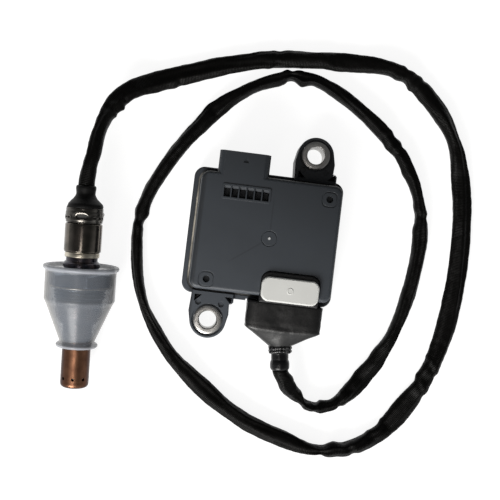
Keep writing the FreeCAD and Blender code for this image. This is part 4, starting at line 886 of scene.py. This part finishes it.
def boot_ring(share, y, inset):
    """One ring of the boot in millimetres: a round-cornered rectangle that becomes the neck's circle."""
    half_x = (boot_right - boot_left) / 2 - inset
    half_z = (boot_top - boot_bottom) / 2 - inset
    middle = np.array(((boot_left + boot_right) / 2, y, (boot_top + boot_bottom) / 2))
    ring = []
    for k in range(boot_points):
        turn = TURN * (k + 0.5) / boot_points
        c, s = math.cos(turn), math.sin(turn)
        scale = (abs(c / half_x) ** boot_power + abs(s / half_z) ** boot_power) ** (-1 / boot_power)
        flat = middle + np.array((scale * c, 0, scale * s))
        round_turn = math.atan2(scale * s / half_z, scale * c / half_x)
        out = math.cos(round_turn) * neck_side + math.sin(round_turn) * upright
        circle = np.array(neck_at) + (boot_neck - inset) * out
        ring.append(flat + (circle - flat) * share)
    return np.array(ring)


def make_boot():
    outer = [boot_ring(0, y, 0) for y in np.linspace(boot_mouth, boot_waist, 14)]
    shares = np.linspace(0, 1, 15)[1:]
    outer += [boot_ring(share, boot_waist, 0) for share in shares]
    inner = [boot_ring(share, boot_waist, boot_wall) for share in shares[::-1]]
    inner += [boot_ring(0, y, boot_wall) for y in np.linspace(boot_waist, boot_mouth, 6)]
    rings = np.array(outer + inner)
    outside = rings[:len(outer)]
    out = outside - outside.mean(axis=1, keepdims=True)
    out /= np.linalg.norm(out, axis=2, keepdims=True)
    y = outside[:, :, 1]
    lumps = 0.35 * rough_field(outside, 9.0, 11) + 0.10 * rough_field(outside, 2.5, 12)
    lumps = lumps - 0.25 * bell(y - boot_waist - 0.6, 1.2) + 0.35 * bell(y - boot_waist + 1.0, 1.0)
    lumps = lumps * smooth(-y, -boot_mouth, -boot_mouth + 2.0)
    rings[:len(outer)] = outside + out * lumps[..., None]
    finish = moulded("boot_rubber", (0.0045, 0.0045, 0.0045), 0.42, grain=0.6, depth=0.02)
    finish.bump(finish.noise(4 * MM, 3.0), 0.15 * MM)
    return painted(loft("boot_skin", rings * MM, loop=True), finish)


def on_neck(radius, station, angle):
    """Point in metres round the neck's line, in the way of on_probe."""
    radius, station, angle = np.broadcast_arrays(radius, station, angle)
    out = np.cos(angle)[..., None] * neck_side + np.sin(angle)[..., None] * upright
    return MM * (np.array(neck_at) + station[..., None] * np.array(neck_way) + radius[..., None] * out)


def make_collar():
    outline = [
        (3.2, -0.4), (5.0, -0.4), (5.5, 0.3), (5.6, 0.9), (5.0, 1.5), (5.6, 2.1), (5.3, 2.9), (4.4, 3.1),
        (3.2, 3.1),
    ]

    def ragged(radius, station, angle):
        wave = 0.22 * np.sin(5 * angle + 1.0) + 0.16 * np.sin(11 * angle + 2.0) + 0.1 * np.sin(17 * angle)
        return radius + wave * smooth(radius, 4.2, 5.2), station + 0.3 * np.sin(3 * angle) * (radius > 4.2)

    finish = moulded("collar_rubber", (0.007, 0.007, 0.0075), 0.36, grain=0.6, depth=0.02)
    return painted(turned("collar_skin", finer(rounded(outline, 0.3), 0.4), 96, ragged, on_neck), finish)


def make_neck_sleeve():
    outline = [
        (3.2, 3.0), (4.3, 3.0), (4.1, 3.6), (4.15, 5.6), (4.05, 6.4), (4.5, 7.3), (4.65, 8.4), (4.6, 10.2),
        (4.2, 11.0), (3.8, 11.4), (3.2, 11.4),
    ]

    def shrunk(radius, station, angle):
        wave = 0.05 * np.sin(4 * angle + 0.5) + 0.04 * np.sin(7 * angle + 0.4 * station)
        return radius + wave * (radius > 3.5), station

    finish = moulded("sleeve_plastic", (0.004, 0.004, 0.0045), 0.34, grain=1.2, depth=0.03,
                     Specular_IOR_Level=0.3)
    return painted(turned("neck_skin", finer(rounded(outline, 0.4), 0.4), 96, shrunk, on_neck), finish)


for piece, node, slot_name, body in (
    (make_grommet(), "probe_grommet", "grommet_rubber", UNIT),
    (make_ferrule(), "vent_ferrule", "ferrule_steel", UNIT),
    (make_tube(), "probe_tube", "tube_steel", UNIT),
    (make_shell(), "probe_shell", "shell_steel", UNIT),
    (make_nut(), "gland_nut", "nut_steel", NUT),
    (make_gasket(), "seat_gasket", "gasket_metal", NUT),
    (make_tip(), "outer_protector", "copper_steel", UNIT),
    (make_cap(), "protective_cap", "clear_polymer", UNIT),
    (make_boot(), "lead_boot", "boot_rubber", UNIT),
    (make_collar(), "boot_collar", "boot_rubber", UNIT),
    (make_neck_sleeve(), "neck_sleeve", "sleeve_plastic", UNIT),
):
    stand_for(piece, node, body)


# Finishes for the CAD nodes that stay
sharp_angle = math.radians(28)
weld_distance = 0.002


def make_edge_group():
    """Node group that smooths faces and keeps edges sharp where two faces meet at more than a set angle."""
    group = bpy.data.node_groups.new("sharp_by_angle", "GeometryNodeTree")
    for way in ("INPUT", "OUTPUT"):
        group.interface.new_socket("Geometry", in_out=way, socket_type="NodeSocketGeometry")
    start = add_node(group, "NodeGroupInput").outputs[0]
    faces = add_node(group, "GeometryNodeSetShadeSmooth", {"Geometry": start}, domain="FACE").outputs[0]
    angle = add_node(group, "GeometryNodeInputMeshEdgeAngle").outputs["Unsigned Angle"]
    above = add_node(group, "FunctionNodeCompare", {0: angle, 1: sharp_angle}, data_type="FLOAT",
                     operation="GREATER_THAN").outputs[0]
    edges = add_node(group, "GeometryNodeSetShadeSmooth",
                     {"Geometry": faces, "Selection": above, "Shade Smooth": False}, domain="EDGE").outputs[0]
    add_node(group, "NodeGroupOutput", {0: edges})
    return group


sharp_edges = make_edge_group()


def dress(node, finish):
    """Gives a node its finish, with smooth curved faces, level flat ones and sharp edges."""
    obj = nodes[node]
    obj.data.materials.clear()
    painted(obj, finish)
    weld = obj.modifiers.new("weld", "WELD")
    weld.merge_threshold = weld_distance * MM
    edges = obj.modifiers.new("edges", "NODES")
    edges.node_group = sharp_edges
    normals = obj.modifiers.new("normals", "WEIGHTED_NORMAL")
    normals.mode = "FACE_AREA_WITH_ANGLE"
    normals.weight = 100
    normals.keep_sharp = True


def sealant_finish():
    """Cured bead, pale in patches along the left side and dark grey elsewhere."""
    finish = moulded("sealant", (0.50, 0.45, 0.35), 0.5, grain=0.9, depth=0.05)
    x, y = finish.place_axes()[:2]
    left = finish.spread(x, -33.0 * MM, -32.0 * MM, 1.0, 0.0)
    above = finish.spread(y, -24.0 * MM, -20.0 * MM, 0.0, 1.0)
    below = finish.spread(y, 14.0 * MM, 21.0 * MM, 1.0, 0.15)
    patches = finish.spread(finish.noise(6 * MM), 0.35, 0.55, 0.45, 1.0)
    finish.tint(finish.product(left, above, below, patches), (0.42, 0.39, 0.33), (0.055, 0.055, 0.052))
    return finish


case_colour = (0.034, 0.040, 0.048)
gate_at = (2.1, -0.7, 25.2)
gate_ring = (3.8, 4.6)           # knit lines start between these distances from the gate
knit_lines = (((0.0, 1.0), 21.0), ((-0.81, -0.59), 24.0))    # direction and reach from the gate
knit_fade = 6.0
side_wall_at = -31.2


def make_case_finish():
    """Black moulding with painted light towards the lower ear, painted shade towards the top and along the
    left side wall, a pale painted glint on its gate mark and two faint knit lines.
    """
    finish = moulded("case_plastic", case_colour, 0.47, grain=0.30, depth=0.010, edge=0.25)
    x, y = finish.place_axes()[:2]
    from_gate = finish.vector("SUBTRACT", finish.place(), tuple(Vector(gate_at) * MM))
    # Painted light towards the lower ear and painted shade towards the top, along a slope across the face
    slope = finish.math("ADD", y, finish.math("MULTIPLY", x, 0.35))
    painted_light_low = finish.spread(slope, -50.0 * MM, -5.0 * MM, 1.5, 1.04)
    painted_shade_high = finish.spread(slope, 2.0 * MM, 50.0 * MM, 1.0, 0.34)
    # wall is painted shade along the cover's left side wall
    from_wall = finish.math("ABSOLUTE", finish.math("SUBTRACT", x, side_wall_at * MM))
    wall = finish.spread(from_wall, 0.6 * MM, 1.6 * MM, 0.55, 1.0)
    flow = finish.spread(finish.noise(14 * MM), 0.3, 0.7, 1.0, 0.88)
    # shade holds the painted light and shade times the plastic's own flow marks, then its knit lines
    shade = finish.product(painted_light_low, painted_shade_high, wall, flow)
    for way, reach in knit_lines:
        along = finish.vector("DOT_PRODUCT", from_gate, (*way, 0.0), "Value")
        aside = finish.vector("DOT_PRODUCT", from_gate, (-way[1], way[0], 0.0), "Value")
        line = finish.product(
            finish.spread(finish.math("ABSOLUTE", aside), 0.15 * MM, 0.5 * MM, 0.22, 0.0),
            finish.spread(along, gate_ring[0] * MM, gate_ring[1] * MM, 0.0, 1.0),
            finish.spread(along, (reach - knit_fade) * MM, reach * MM, 1.0, 0.0))
        shade = finish.math("MULTIPLY", shade, finish.math("SUBTRACT", 1.0, line))
    shaded = finish.node("ShaderNodeVectorMath", {0: case_colour, 3: shade}, operation="SCALE").outputs[0]
    # A small pale dot at the gate: a painted glint
    painted_gate_glint = finish.spread(finish.vector("LENGTH", from_gate, output="Value"), 0.35 * MM, 0.75 * MM, 1.0, 0.0)
    finish.tint(painted_gate_glint, (0.55, 0.56, 0.56), shaded)
    return finish


def box_middle(node):
    """Middle of a node's box, in metres."""
    low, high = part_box(node)
    return tuple((low + high) / 2)


def white_finish():
    """White moulding with the faint round mark of its gate in the middle."""
    mark_radius, mark_depth = 1.3, 0.12
    finish = moulded("white_plastic", (0.67, 0.675, 0.65), 0.42, grain=0.5, depth=0.008, shade=0.95)
    reach = finish.reach(box_middle("plug_lock_cap"))
    from_mark = finish.math("ABSOLUTE", finish.math("SUBTRACT", reach, mark_radius * MM))
    finish.bump(finish.spread(from_mark, 0.1 * MM, 0.3 * MM, 1.0, 0.0), mark_depth * MM)
    return finish


def bush_finish(node):
    return upright_metal(node + "_steel", (0.50, 0.49, 0.47), 0.40, box_middle(node))


for finish, dressed in (
    (make_case_finish(), ("case_base", "case_cover")),
    (sealant_finish(), ("case_sealant",)),
    (bush_finish("bush_upper"), ("bush_upper",)),
    (bush_finish("bush_lower"), ("bush_lower",)),
    (moulded("board", (0.03, 0.16, 0.07), 0.35, grain=0.5, depth=0.01), ("circuit_board",)),
    (moulded("chip_resin", (0.03, 0.03, 0.03), 0.5), ("board_chips",)),
    (moulded("capacitor_can", (0.70, 0.71, 0.72), 0.3, Metallic=1.0), ("board_capacitors",)),
    (moulded("pin_metal", (0.72, 0.66, 0.52), 0.3, Metallic=1.0),
     ("connector_pins", "lead_header_pins", "lead_terminals", "contact_springs")),
    (moulded("plug_plastic", (0.012, 0.012, 0.013), 0.5, edge=0.3), ("lead_plug",)),
    (white_finish(), ("plug_lock_cap",)),
    (moulded("wire_jacket", (0.55, 0.55, 0.55), 0.4), ("lead_wires", "probe_wires")),
    (moulded("filter_polymer", (0.05, 0.05, 0.048), 0.8, grain=0.2, depth=0.05), ("vent_filter",)),
    (moulded("ceramic", (0.80, 0.79, 0.75), 0.55), ("contact_block", "upper_insulator", "lower_insulator")),
    (moulded("talc", (0.70, 0.69, 0.66), 0.9), ("talc_packing",)),
    (moulded("element_ceramic", (0.72, 0.72, 0.70), 0.5), ("sensor_element",)),
    (moulded("inner_steel", (0.40, 0.38, 0.35), 0.35, Metallic=1.0), ("inner_protector",)),
):
    for node in dressed:
        dress(node, finish)
